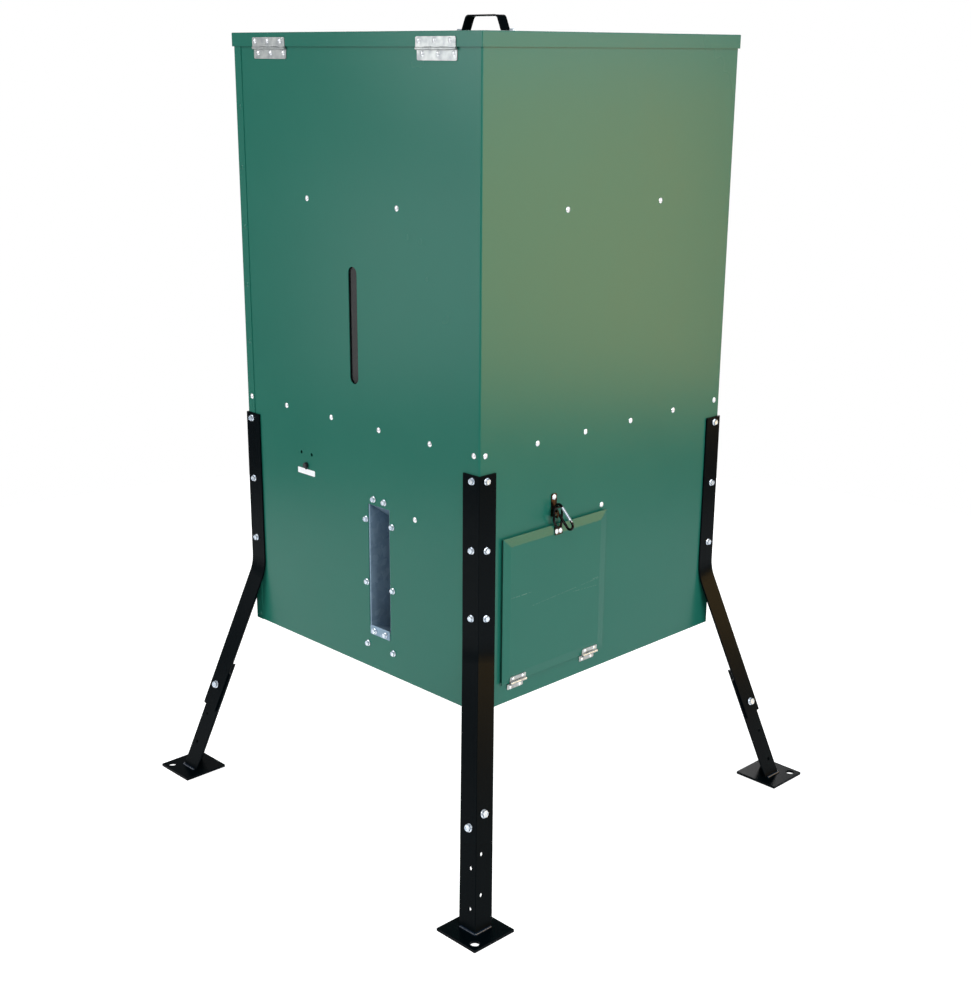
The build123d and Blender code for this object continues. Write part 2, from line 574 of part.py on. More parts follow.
def chute_scroll():
    """Floor of the chute: a tab bolted outside, a rising floor and the wrap round the impeller."""
    x0, length = CHUTE_LEFT + SEAT, CHUTE_W - 2 * SEAT
    outer = SCROLL_R + SHEET
    tangent = (SCROLL_Y - SCROLL_R * sin(FLOOR), SCROLL_Z - SCROLL_R * cos(FLOOR))
    below = (SCROLL_Y - outer * sin(FLOOR), SCROLL_Z - outer * cos(FLOOR))
    front = -HALF - SEAT - SHEET
    rise = (tangent[0] - front) * tan(FLOOR)
    side = SIDE_VIEW.offset(x0)
    floor = prism(side, [(front, tangent[1] + rise), tangent, below,
                         (front, tangent[1] + rise - SHEET / cos(FLOOR))], length)
    centre = (SCROLL_Y, SCROLL_Z)
    start, sweep_angle = 270 - FLOOR_RISE, 135 + FLOOR_RISE
    end_in, end_out = arc_point(SCROLL_R, 45), arc_point(outer, 45)
    ring = CenterArc(centre, SCROLL_R, start, sweep_angle) + Line(end_in, end_out)
    ring += CenterArc(centre, outer, start, sweep_angle) + Line(below, tangent)
    wrap = extrude(side * make_face(ring.edges()), amount=length)
    back = prism(side, [end_in, end_out, (THROAT_BACK + SHEET, CHUTE_TOP), (THROAT_BACK, CHUTE_TOP)], length)
    tab_half = CHUTE_W / 2
    tab = block(CHUTE_X - tab_half, CHUTE_X + tab_half, front, front + SHEET, MOUTH_LOW - TAB_H,
                tangent[1] + rise - GAP)
    return floor + wrap + back + tab - CHUTE_HOLES


def arc_point(radius, angle):
    """Point of the scroll at a radius and an angle in degrees."""
    return (SCROLL_Y + radius * cos(radians(angle)), SCROLL_Z + radius * sin(radians(angle)))


def chute_hood():
    """Sloping top of the chute, from the throat's front to a flange above the mouth."""
    x0, length = CHUTE_LEFT + SEAT, CHUTE_W - 2 * SEAT
    top = MOUTH_HIGH + SHEET / 2
    path = [(THROAT_FRONT, CHUTE_TOP - 2 * SHEET), (-LINED, top), (-LINED, CHUTE_PAIR_Z + PAIR_EDGE)]
    return bent_sheet(SIDE_VIEW.offset(x0), path[::-1], SHEET, length) - CHUTE_HOLES


def chute_bolts():
    """Bolts and nuts round the mouth and through the tab below it."""
    pieces = []
    for a, z in CHUTE_SITES:
        pieces += bolt_and_nut((a, -HALF, z), (0, 1, 0), 2 * SHEET + SEAT, CHUTE_BOLT)
    for a, z in TAB_SITES:
        pieces += bolt_and_nut((a, -HALF - LAP_OUT, z), (0, 1, 0), 2 * SHEET + SEAT, CHUTE_BOLT)
    return pieces


def impeller():
    """Backplate, hub and radial blades, welded up as one piece."""
    x0 = CHUTE_LEFT + IMPELLER_GAP
    x1 = CHUTE_RIGHT - IMPELLER_GAP
    centre = (x0, SCROLL_Y, SCROLL_Z)
    body = rod(centre, (1, 0, 0), 0.92 * IMPELLER_R, DISC_T) + rod(centre, (1, 0, 0), 2.2 * SHAFT_R, HUB_L)
    blade = block(x0, x1, 1.6 * SHAFT_R, IMPELLER_R, -DISC_T / 2, DISC_T / 2)
    for i in range(BLADES):
        body += Pos(0, SCROLL_Y, SCROLL_Z) * Rot(360 / BLADES * i, 0, 0) * blade
    return body - rod((x0 - REACH, SCROLL_Y, SCROLL_Z), (1, 0, 0), SHAFT_R + RUN_FIT, 2 * HUB_L)


def motor_shaft():
    """Output shaft that carries the impeller."""
    length = 0.7 * MOTOR_L + IMPELLER_GAP + HUB_L + SHEET
    return rod((CHUTE_LEFT - 0.7 * MOTOR_L, SCROLL_Y, SCROLL_Z), (1, 0, 0), SHAFT_R, length)


def motor_screw_points():
    """Three fixing points round the motor's nose."""
    turns = [radians(90 + 120 * i) for i in range(3)]
    return [(SCROLL_Y + 0.74 * MOTOR_R * cos(t), SCROLL_Z + 0.74 * MOTOR_R * sin(t)) for t in turns]


def motor_screw_holes():
    """Clearance holes for the motor screws."""
    return [rod((CHUTE_LEFT - 12 * SHEET, y, z), (1, 0, 0), SCREW_R + HOLE_PLAY, 20 * SHEET)
            for y, z in motor_screw_points()]


def motor():
    """Twelve-volt gear motor on the outside of the left plate."""
    nose = CHUTE_LEFT - SHEET - SEAT
    case = rod((nose, SCROLL_Y, SCROLL_Z), (-1, 0, 0), MOTOR_R, 0.35 * MOTOR_L)
    case += rod((nose, SCROLL_Y, SCROLL_Z), (-1, 0, 0), 0.9 * MOTOR_R, 0.95 * MOTOR_L)
    case += rod((nose - 0.4 * MOTOR_L, SCROLL_Y, SCROLL_Z), (-1, 0, 0), 0.97 * MOTOR_R, 0.45 * MOTOR_L)
    case += rod((nose, SCROLL_Y, SCROLL_Z), (-1, 0, 0), 2 * SHAFT_R, MOTOR_L)
    for s in (-1, 1):
        y = SCROLL_Y + s * 0.58 * MOTOR_R
        case += block(nose - MOTOR_L - TAG_L, nose - 0.9 * MOTOR_L, y - TAG_W / 2, y + TAG_W / 2,
                      SCROLL_Z - TAG_T / 2, SCROLL_Z + TAG_T / 2)
    case -= rod((nose + REACH, SCROLL_Y, SCROLL_Z), (-1, 0, 0), SHAFT_R + RUN_FIT, 0.7 * MOTOR_L + REACH)
    return case - motor_screw_holes()


# ---- power and control ---------------------------------------------------
def battery():
    """Sealed twelve-volt battery with two blade terminals."""
    w, length, h = BATTERY
    z0 = PAN_TOP + SEAT + SHEET + SEAT
    case = fillet(Box(w, length, h, align=LOW).edges().filter_by(Axis.Z), BATTERY_ROUND)
    case = Pos(BATTERY_X, BATTERY_Y, z0) * case
    case -= block(BATTERY_X - w, BATTERY_X + w, BATTERY_Y - 0.3 * length, BATTERY_Y + 0.3 * length,
                  z0 + h - BATTERY_STEP, z0 + 2 * h)
    x, z = BATTERY_X + 0.32 * w, z0 + h + SEAT
    blades = [block(x - TAG_L / 2, x + TAG_L / 2, y - TAG_T / 2, y + TAG_T / 2, z, z + TAG_L)
              for y in (BATTERY_Y - 0.42 * length, BATTERY_Y + 0.42 * length)]
    return [case] + blades


def battery_tray():
    """Shallow tray that keeps the battery in place on the pan."""
    w, length, h = BATTERY
    z0 = PAN_TOP + SEAT
    hw, hl = w / 2 + TRAY_PLAY, length / 2 + TRAY_PLAY
    outer = block(BATTERY_X - hw - SHEET, BATTERY_X + hw + SHEET,
                  BATTERY_Y - hl - SHEET, BATTERY_Y + hl + SHEET, z0, z0 + TRAY_LIP)
    return outer - block(BATTERY_X - hw, BATTERY_X + hw, BATTERY_Y - hl, BATTERY_Y + hl, z0 + SHEET, z0 + h)


BRACKET_KNEE = 12.6       # tab beyond the rivet, before the strap leaves the wall
STRAP_A = (BRACKET_FRONT + BRACKET_KNEE, -LINED)
STRAP_B = (LINED, BRACKET_SIDE - BRACKET_KNEE)
STRAP_L = hypot(STRAP_B[0] - STRAP_A[0], STRAP_B[1] - STRAP_A[1])
STRAP_DIR = ((STRAP_B[0] - STRAP_A[0]) / STRAP_L, (STRAP_B[1] - STRAP_A[1]) / STRAP_L)
TIMER_OUT = (STRAP_DIR[1], -STRAP_DIR[0], 0)
TIMER_PLANE = Plane(origin=((STRAP_A[0] + STRAP_B[0]) / 2 + SEAT * TIMER_OUT[0],
                            (STRAP_A[1] + STRAP_B[1]) / 2 + SEAT * TIMER_OUT[1], BRACKET_Z),
                    x_dir=(*STRAP_DIR, 0), z_dir=TIMER_OUT)
TIMER_SCREWS = [(s * (TIMER_W / 2 - 6), y) for s in (-1, 1) for y in (TIMER_UP - 6, -TIMER_DOWN + 6)]
BUTTON_X = [i * BUTTON_PITCH for i in (-1, 0, 1)]


def control_bracket():
    """Strap across the front right corner, riveted to both walls, that carries the timer."""
    path = [(BRACKET_FRONT - BRACKET_KNEE, -LINED), STRAP_A, STRAP_B, (LINED, BRACKET_SIDE + BRACKET_KNEE)]
    strap = bent_sheet(Plane.XY.offset(BRACKET_Z - BRACKET_H / 2), path, BRACKET_T, BRACKET_H, bend=3)
    strap -= [TIMER_PLANE * rod((x, 0, -4), (0, 0, 1), 2.0 + HOLE_PLAY, 8) for x in (-30, 30)]
    return strap - RIVET_HOLES


def timer_box():
    """Open-fronted case of the timer, screwed to the strap."""
    case = block(-TIMER_W / 2, TIMER_W / 2, -TIMER_DOWN, TIMER_UP, 0, TIMER_D)
    case = fillet(case.edges().filter_by(Axis.Z), 5)
    wall = TIMER_WALL
    case -= block(-TIMER_W / 2 + wall, TIMER_W / 2 - wall, -TIMER_DOWN + wall, TIMER_UP - wall, wall, TIMER_D + 1)
    case += [rod((x, y, 0), (0, 0, 1), 4.2, TIMER_D) for x, y in TIMER_SCREWS]
    case -= [rod((x, y, 4), (0, 0, 1), 1.6 + HOLE_PLAY, TIMER_D) for x, y in TIMER_SCREWS]
    case -= [rod((x, 0, -1), (0, 0, 1), 2.0 + HOLE_PLAY, 5) for x in (-30, 30)]
    return TIMER_PLANE * case


def timer_cover():
    """Front of the timer with its screen opening and button holes."""
    z0 = TIMER_D + SEAT
    cover = block(-TIMER_W / 2, TIMER_W / 2, -TIMER_DOWN, TIMER_UP, z0, z0 + COVER_T)
    cover = fillet(cover.edges().filter_by(Axis.Z), 5)
    cover -= block(-SCREEN_W / 2 + 2, SCREEN_W / 2 - 2, -SCREEN_H / 2 + 1, SCREEN_H / 2 - 1, z0 - 1, z0 + 9)
    cover -= block(-SCREEN_W / 2 - SEAT, SCREEN_W / 2 + SEAT, -SCREEN_H / 2 - SEAT, SCREEN_H / 2 + SEAT,
                   z0 + COVER_T - 1, z0 + 9)
    cover -= [rod((x, -BUTTON_DROP, z0 - 1), (0, 0, 1), BUTTON_R + GAP, 9) for x in BUTTON_X]
    cover -= [rod((x, y, z0 - 1), (0, 0, 1), 1.6 + HOLE_PLAY, 9) for x, y in TIMER_SCREWS]
    return TIMER_PLANE * cover


def timer_display():
    """Screen lens let into the cover."""
    top = TIMER_D + SEAT + COVER_T
    return TIMER_PLANE * block(-SCREEN_W / 2, SCREEN_W / 2, -SCREEN_H / 2, SCREEN_H / 2, top - 0.9, top + 0.2)


def timer_button(x):
    """Push button with a collar behind the cover."""
    z0 = TIMER_D + SEAT
    cap = rod((x, -BUTTON_DROP, z0 - 1), (0, 0, 1), BUTTON_R, COVER_T + BUTTON_PROUD + 1)
    cap = fillet(cap.edges().sort_by(Axis.Z)[-1], 0.6)
    return TIMER_PLANE * (cap + rod((x, -BUTTON_DROP, z0 - GAP - 1.2), (0, 0, 1), BUTTON_R + 1.5, 1.2))


def inner_screws():
    """Screws of the timer cover, the timer's back and the motor."""
    screws = []
    top = TIMER_D + 2 * SEAT + COVER_T
    for x, y in TIMER_SCREWS:
        screws.append(TIMER_PLANE * (rod((x, y, top), (0, 0, 1), 2.9, 1.8) + rod((x, y, 8), (0, 0, 1), 1.6, top - 7)))
    for x in (-30, 30):
        head = rod((x, 0, TIMER_WALL + SEAT), (0, 0, 1), 3.6, 2)
        shank = rod((x, 0, -BRACKET_T - 2), (0, 0, 1), 2.0, BRACKET_T + TIMER_WALL + 3)
        screws.append(TIMER_PLANE * (head + shank))
    for y, z in motor_screw_points():
        head = rod((CHUTE_LEFT + SEAT, y, z), (1, 0, 0), 3.6, 1.8)
        screws.append(head + rod((CHUTE_LEFT - 9, y, z), (1, 0, 0), 2.0, 10))
    return screws


def solar_socket():
    """Round power jack through the front, with its ring nut behind."""
    y0 = -HALF - SEAT
    jack = rod((SOCKET_A, y0, SOCKET_Z), (0, -1, 0), SOCKET_FLANGE, 2.4)
    jack += rod((SOCKET_A, y0 - 1, SOCKET_Z), (0, 1, 0), SOCKET_R, 16)
    jack -= rod((SOCKET_A, y0 - 3, SOCKET_Z), (0, 1, 0), 2.75, 11)
    jack += rod((SOCKET_A, y0 - 1.4, SOCKET_Z), (0, 1, 0), 1.0, 12)
    nut = nut_block((SOCKET_A, -INNER + SEAT, SOCKET_Z), (0, 1, 0), 11, 2.4)
    return [jack, nut - rod((SOCKET_A, -INNER, SOCKET_Z), (0, 1, 0), SOCKET_R + RUN_FIT, 4)]


def socket_cap():
    """Rubber dust cap pushed into the jack, with a pull tab at its lower side."""
    y0 = -HALF - SEAT - 2.4 - SEAT
    cap = rod((SOCKET_A, y0, SOCKET_Z), (0, -1, 0), 4.9, 3.0)
    cap = fillet(cap.edges().sort_by(Axis.Y)[0], 1.2)
    tab = prism(Plane(origin=(0, y0, 0), x_dir=(1, 0, 0), z_dir=(0, -1, 0)),
                [(SOCKET_A - 1.6, SOCKET_Z), (SOCKET_A + 1.6, SOCKET_Z),
                 (SOCKET_A + 4.2, SOCKET_Z - 6.4), (SOCKET_A + 0.8, SOCKET_Z - 7.0)], 1.4)
    plug = rod((SOCKET_A, y0, SOCKET_Z), (0, 1, 0), 2.6, 3.0) - rod((SOCKET_A, y0, SOCKET_Z), (0, 1, 0), 1.3, 3.0)
    return cap + tab + plug


# ---- legs ----------------------------------------------------------------
LEG_VIEW = Plane(origin=(0, 0, 0), x_dir=(1, -1, 0), z_dir=(-1, -1, 0))
LEG_TILT = Axis((CORNER, -CORNER, BEND_Z), (-1, -1, 0))
NEST = LEG_T + SEAT       # the lower angle sits inside the upper one
CORNERS = ("front_right", "rear_right", "rear_left", "front_left")


def angle_face(inset, z):
    """Section of an angle at the front right corner, its outer corner inset from the leg's."""
    c, w = CORNER - inset, LEG_W
    points = [(c, -c), (c, -c + w), (c - LEG_T, -c + w), (c - LEG_T, -c + LEG_T),
              (c - w, -c + LEG_T), (c - w, -c)]
    face = make_face(Polyline(*[(x, y, z) for x, y in points], close=True))
    return fillet(face.vertices(), 0.8)


def sloped(shape):
    """Lean an upright shape out along the leg's lower run."""
    return shape.rotate(LEG_TILT, degrees(LEAN))


def adjust_points():
    """Adjusting holes before leaning: where each starts, which way it runs, and its place in the row."""
    points = []
    for i in range(ADJUST_HOLES):
        u = ADJUST_FIRST + i * ADJUST_PITCH
        points.append(((CORNER, -CORNER + ADJUST_IN, BEND_Z - u), (-1, 0, 0), i))
        points.append(((CORNER - ADJUST_IN, -CORNER, BEND_Z - u - ADJUST_STAGGER), (0, 1, 0), i))
    return points


def adjust_cutters(rows):
    """Cutters for the first so many rows of adjusting holes."""
    return [sloped(rod(Vector(*start) - 5 * Vector(*axis), axis, ADJUST_BOLT[0] + HOLE_PLAY, 20))
            for start, axis, i in adjust_points() if i < rows]


def upper_leg():
    """Angle bolted up the body's corner, then bent outward."""
    reach = CORNER * sqrt(2)
    path = LEG_VIEW * FilletPolyline((reach, LEG_TOP), (reach, BEND_Z),
                                     (reach + UPPER_END * sin(LEAN), BEND_Z - UPPER_END * cos(LEAN)),
                                     radius=[BEND_R])
    return sweep(angle_face(0, LEG_TOP), path=path) - LEG_HOLES - adjust_cutters(1)


def lower_leg():
    """Adjusting angle nested inside the upper one, cut level on its foot plate."""
    length = BEND_Z / cos(LEAN) + 40 - LOWER_START
    angle = sloped(extrude(angle_face(NEST, BEND_Z - LOWER_START), amount=length, dir=(0, 0, -1)))
    above = block(0, 2 * BODY_W, -2 * BODY_W, 0, FOOT_T, BEND_Z)
    return (angle & above) - adjust_cutters(ADJUST_HOLES)


def foot_plate():
    """Square foot with a stake hole at its outer corner."""
    h = FOOT_SIZE / 2
    plate = block(FOOT_C - h, FOOT_C + h, -FOOT_C - h, -FOOT_C + h, 0, FOOT_T)
    return plate - rod((STAKE_C, -STAKE_C, -1), (0, 0, 1), STAKE_R, FOOT_T + 2)


def leg_bolts():
    """Bolts and nuts that hold the legs to the body."""
    pieces = []
    for k, a, z in LEG_SITES:
        for piece in bolt_and_nut((a, -CORNER, z), (0, 1, 0), LEG_T + SEAT + SHEET, LEG_BOLT):
            pieces.append(turned(piece, k))
    return pieces


def adjust_bolts():
    """Bolts and nuts that lock the legs' height."""
    one_leg = []
    for start, axis, i in adjust_points():
        if i == 0:
            one_leg += bolt_and_nut(start, axis, 2 * LEG_T + SEAT, ADJUST_BOLT)
    return [turned(sloped(piece), k) for k in SIDES for piece in one_leg]


# ---- lid -----------------------------------------------------------------
HANDLE_BOLT_X = HANDLE_BASE + HANDLE_FOOT / 2 + 2


def lid_pan():
    """Flat lid folded down all round."""
    out = HALF + LID_OVER
    low = LID_TOP - LID_LIP
    pan = block(-out, out, -out, out, low, LID_TOP)
    pan = fillet(pan.edges().filter_by(Axis.Z) + pan.faces().sort_by(Axis.Z)[-1].edges(), BEND)
    pan -= block(-out + SHEET, out - SHEET, -out + SHEET, out - SHEET, low - 1, LID_TOP - SHEET)
    pan -= [rod((s * HANDLE_BOLT_X, 0, LID_TOP - REACH), (0, 0, 1), LEG_BOLT[0] + HOLE_PLAY, 2 * REACH) for s in (-1, 1)]
    return pan - lid_rivet_holes()


def lid_rivet_sites():
    """Rivets of the upper lid leaves."""
    return [(a + i * LID_HINGE_PITCH - LID_HINGE_SHIFT, LID_PIN_Z + LID_RIVET_UP)
            for a in LID_HINGE_X for i in (-1, 0, 1)]


def lid_rivet_holes():
    """Holes for them."""
    return [drill(0, a, z, RIVET_R + HOLE_PLAY) for a, z in lid_rivet_sites()]


def lid_rivets():
    """Bright rivets through the lid's front lip."""
    shape = rivet(SHEET + LID_HINGE_T + 3 * SEAT, RIVET_R, LEAF_HEAD_R, RIVET_HEAD_H, 1.0)
    out = LID_OVER + 2 * SEAT + LID_HINGE_T
    return [face_plane(a, z, out) * shape for a, z in lid_rivet_sites()]


def lid_handle():
    """Bent strap handle on the middle of the lid."""
    z0 = LID_TOP + SEAT
    toe = HANDLE_BASE + HANDLE_FOOT
    path = [(toe, z0), (HANDLE_BASE - HANDLE_T, z0), (HANDLE_NECK - HANDLE_T, z0 + HANDLE_H - HANDLE_T)]
    path += [(-x, z) for x, z in path[::-1]]
    view = Plane(origin=(0, HANDLE_W / 2, 0), x_dir=(1, 0, 0), z_dir=(0, -1, 0))
    strap = bent_sheet(view, path[::-1], HANDLE_T, HANDLE_W, bend=HANDLE_BEND)
    return strap - [rod((s * HANDLE_BOLT_X, 0, z0 - REACH), (0, 0, 1), LEG_BOLT[0] + HOLE_PLAY, 2 * REACH)
                    for s in (-1, 1)]


def handle_bolts():
    """Bolts and nuts through the handle's feet."""
    pieces = []
    for s in (-1, 1):
        top = LID_TOP + SEAT + HANDLE_T
        pieces += bolt_and_nut((s * HANDLE_BOLT_X, 0, top), (0, 0, -1), HANDLE_T + SHEET + SEAT, LEG_BOLT)
    return pieces


def lid_hinges():
    """Two five-knuckle hinges: upper leaves on the lip, lower leaves on the front."""
    upper, lower, pin = butt_hinge(LID_HINGE_W, 5, LID_HINGE_T, LID_HINGE_R, LID_PIN_R, LID_HINGE_LEAF,
                                   LID_HINGE_LEAF, LID_HINGE_T / 2, -HALF - SEAT - LID_PIN_Y, 0)
    places = [Pos(a, LID_PIN_Y, LID_PIN_Z) for a in LID_HINGE_X]
    return ([p * upper - lid_rivet_holes() for p in places],
            [p * lower - RIVET_HOLES for p in places],
            [p * pin for p in places])


# ---- door ----------------------------------------------------------------
def door_blank(shift):
    """Door's solid outside form, moved in by a shift: a low frustum on a thin slab."""
    face = Plane(origin=(0, DOOR_Y, (DOOR_LOW + DOOR_TOP) / 2), x_dir=(0, 1, 0), z_dir=(1, 0, 0))
    wide = face.offset(DOOR_EDGE - shift) * Rectangle(DOOR_W, DOOR_H)
    narrow = face.offset(DOOR_FACE - shift) * Rectangle(DOOR_W - 2 * BAND_W, DOOR_H - 2 * BAND_W)
    return loft([wide, narrow], ruled=True) + extrude(wide, amount=-DOOR_T - 0.5)


DOOR_HINGE_SITES = [DOOR_Y + s * DOOR_HINGE_A + i * DOOR_HINGE_PITCH for s in (-1, 1) for i in (-1, 1)]
BAND_FRAME = Plane(origin=(DOOR_PIN_X, 0, DOOR_PIN_Z), x_dir=(0, 1, 0),
                   z_dir=(cos(BAND_TILT), 0, -sin(BAND_TILT)))
EYE_FRAME = Plane(origin=(DOOR_FACE - (EYE_Z - DOOR_TOP + BAND_W) / BAND_W * BAND_DROP, EYE_Y, EYE_Z),
                  x_dir=(0, 1, 0), z_dir=(cos(BAND_TILT), 0, sin(BAND_TILT)))


def door_rivet_holes():
    """Holes in the door for its hinge and eye rivets."""
    holes = [BAND_FRAME * rod((y, DOOR_RIVET_UP, -9), (0, 0, 1), SMALL_RIVET_R + HOLE_PLAY, 14)
             for y in DOOR_HINGE_SITES]
    holes += [EYE_FRAME * rod((s * EYE_RIVET_A, 0, -5), (0, 0, 1), RIVET_R + HOLE_PLAY, 12) for s in (-1, 1)]
    return holes


def door_panel():
    """Access door: flat middle with a border that slopes back to a mitred edge."""
    return door_blank(0) - door_blank(DOOR_T) - door_rivet_holes()


def door_gasket():
    """Foam frame glued behind the door, cut away round the rivets."""
    def frame_half(inset):
        return DOOR_W / 2 - inset, DOOR_LOW + inset, DOOR_TOP - inset
    a, low, high = frame_half(GASKET_IN)
    b, low_in, high_in = frame_half(GASKET_IN + GASKET_W)
    x0, x1 = HALF + GAP, DOOR_EDGE - DOOR_T - SEAT
    ring = block(x0, x1, DOOR_Y - a, DOOR_Y + a, low, high)
    ring -= block(x0 - 1, x1 + 1, DOOR_Y - b, DOOR_Y + b, low_in, high_in)
    ring -= [rod((x0 - 1, y, DOOR_PIN_Z + DOOR_RIVET_UP), (1, 0, 0), 3.6, 9) for y in DOOR_HINGE_SITES]
    return ring - [rod((x0 - 1, EYE_Y + s * EYE_RIVET_A, EYE_Z), (1, 0, 0), 4.2, 9) for s in (-1, 1)]


def door_hinges():
    """Two small hinges under the door: upper leaves on its border, lower leaves on the side."""
    wall = DOOR_PIN_X - HALF - SEAT
    upper, lower, pin = butt_hinge(DOOR_HINGE_W, 3, DOOR_HINGE_T, DOOR_HINGE_R, DOOR_PIN_R, DOOR_HINGE_UP,
                                   DOOR_HINGE_DOWN, DOOR_HINGE_R + GAP - SEAT, wall, BAND_TILT)
    places = [Pos(DOOR_PIN_X, DOOR_Y + s * DOOR_HINGE_A, DOOR_PIN_Z) * Rot(0, 0, 90) for s in (-1, 1)]
    return ([p * upper - door_rivet_holes() for p in places],
            [p * lower - RIVET_HOLES for p in places],
            [p * pin for p in places])


def door_rivets():
    """Rivets of the upper door leaves and of the door's eye."""
    grip = DOOR_HINGE_T + DOOR_T + 3 * SEAT
    small = rivet(grip, SMALL_RIVET_R, SMALL_HEAD_R, SMALL_HEAD_H, 1.2)
    z0 = -DOOR_HINGE_R - GAP + DOOR_HINGE_T + 2 * SEAT
    rivets = [BAND_FRAME * Pos(y, DOOR_RIVET_UP, z0) * small for y in DOOR_HINGE_SITES]
    large = rivet(EYE_T + DOOR_T + 3 * SEAT, RIVET_R, LEAF_HEAD_R, RIVET_HEAD_H, 1.2)
    return rivets + [EYE_FRAME * Pos(s * EYE_RIVET_A, 0, EYE_T + 2 * SEAT) * large for s in (-1, 1)]


def lower_leaf_rivets():
    """Small rivets of the lower door leaves."""
    out = SEAT + DOOR_HINGE_T
    small = rivet(SHEET + out + 2 * SEAT, SMALL_RIVET_R, SMALL_HEAD_R, SMALL_HEAD_H, 2.0)
    return [turned(face_plane(a, z, out + SEAT) * small, k) for k, a, z in DOOR_LEAF_SITES]


# ---- latch ---------------------------------------------------------------
def door_eye():
    """Hasp: a riveted foot with a tall wire loop that stands over the body's staple."""
    foot = EYE_FRAME * block(-EYE_W / 2, EYE_W / 2, EYE_RISE - EYE_H / 2, EYE_RISE + EYE_H / 2, SEAT, SEAT + EYE_T)
    foot -= [EYE_FRAME * rod((s * EYE_RIVET_A, 0, -5), (0, 0, 1), RIVET_R + HOLE_PLAY, 12) for s in (-1, 1)]
    low = EYE_Z + EYE_RISE + EYE_H / 2
    start_x = DOOR_FACE - BAND_DROP + EYE_T + BAR_R
    ends = [(start_x, EYE_Y - LOOP_FOOT, low - 0.7 * BAR_R), (BAR_X, LATCH_Y - LOOP_A, low + 2 * LOOP_ROUND),
            (BAR_X, LATCH_Y - LOOP_A, BAR_Z), (BAR_X, LATCH_Y + LOOP_A, BAR_Z),
            (BAR_X, LATCH_Y + LOOP_A, low + 2 * LOOP_ROUND), (start_x, EYE_Y + LOOP_FOOT, low - 0.7 * BAR_R)]
    path = FilletPolyline(*ends, radius=[LOOP_ROUND] * 4)
    section = Plane(origin=ends[0], z_dir=path % 0) * Circle(BAR_R)
    return foot + sweep(section, path=path)


def body_eye():
    """Staple above the door: a riveted tongue down behind the loop, with one ear turned out through it."""
    back, half = HALF + SEAT, STAPLE_W / 2
    low = BAR_Z - EAR_H - 2 * BAR_R
    tongue = block(back, back + EYE_T, LATCH_Y - half, LATCH_Y + half, low, STAPLE_Z + STAPLE_HEAD)
    tongue = fillet(tongue.edges().filter_by(Axis.X), 0.6 * half)
    ear_y = LATCH_Y - half
    ear = block(back, BAR_X + EAR_PAST, ear_y, ear_y + EAR_T, low, BAR_Z - 2 * BAR_R)
    ear -= rod((BAR_X, ear_y - EAR_T, (low + BAR_Z - 2 * BAR_R) / 2), (0, 1, 0), EAR_HOLE_R, 3 * EAR_T)
    return tongue + ear - RIVET_HOLES


BOW_DROP = HOOK_BOW - HOOK_R - BAR_R - GAP     # upper bow's centre below the bar
HOOK_PLACE = Pos(BAR_X, LATCH_Y, BAR_Z) * Rot(0, -HOOK_LEAN, 0)
GATE_PIVOT = -BOW_DROP - HOOK_SPINE + GATE_PIVOT_UP


def snap_hook():
    """Wire snap hook hung on the loop, open on the side that the gate closes."""
    top, low = -BOW_DROP, -BOW_DROP - HOOK_SPINE
    nose = Line((HOOK_BOW, 0, top - NOSE_L), (HOOK_BOW, 0, top))
    side = Plane(origin=(0, 0, 0), x_dir=(1, 0, 0), z_dir=(0, -1, 0))
    over = side * CenterArc((0, top), HOOK_BOW, 0, 180)
    spine = Line((-HOOK_BOW, 0, top), (-HOOK_BOW, 0, low))
    under = side * CenterArc((0, low), HOOK_BOW, 180, 180)
    stub = Line((HOOK_BOW, 0, low), (HOOK_BOW, 0, GATE_PIVOT + 1.5))
    path = Wire([nose.edge(), over.edge(), spine.edge(), under.edge(), stub.edge()])
    hook = sweep(Plane(origin=(HOOK_BOW, 0, top - NOSE_L), z_dir=(0, 0, 1)) * Circle(HOOK_R), path=path)
    slot = GATE_TONGUE + GAP
    hook -= block(HOOK_BOW - 4, HOOK_BOW + 4, -slot, slot, GATE_PIVOT - 2.4, GATE_PIVOT + 3)
    hook += rod((HOOK_BOW, -HOOK_R, GATE_PIVOT), (0, 1, 0), GATE_PIN_R, 2 * HOOK_R)
    return HOOK_PLACE * hook


def hook_gate():
    """Spring gate: a bright sleeve with a tongue on the hook's pivot."""
    base = GATE_PIVOT + GATE_LOW
    top = -BOW_DROP - NOSE_L - 2 * GAP
    sleeve = rod((HOOK_BOW, 0, base), (0, 0, 1), GATE_R, top - base)
    sleeve = fillet(sleeve.edges().filter_by(GeomType.CIRCLE), 0.6)
    tongue = block(HOOK_BOW - 1.6, HOOK_BOW + 1.6, -GATE_TONGUE, GATE_TONGUE, GATE_PIVOT, base + 1)
    tongue += rod((HOOK_BOW, -GATE_TONGUE, GATE_PIVOT), (0, 1, 0), 1.6, 2 * GATE_TONGUE)
    bore = rod((HOOK_BOW, -4, GATE_PIVOT), (0, 1, 0), GATE_PIN_R + RUN_FIT, 8)
    return HOOK_PLACE * (sleeve + tongue - bore)


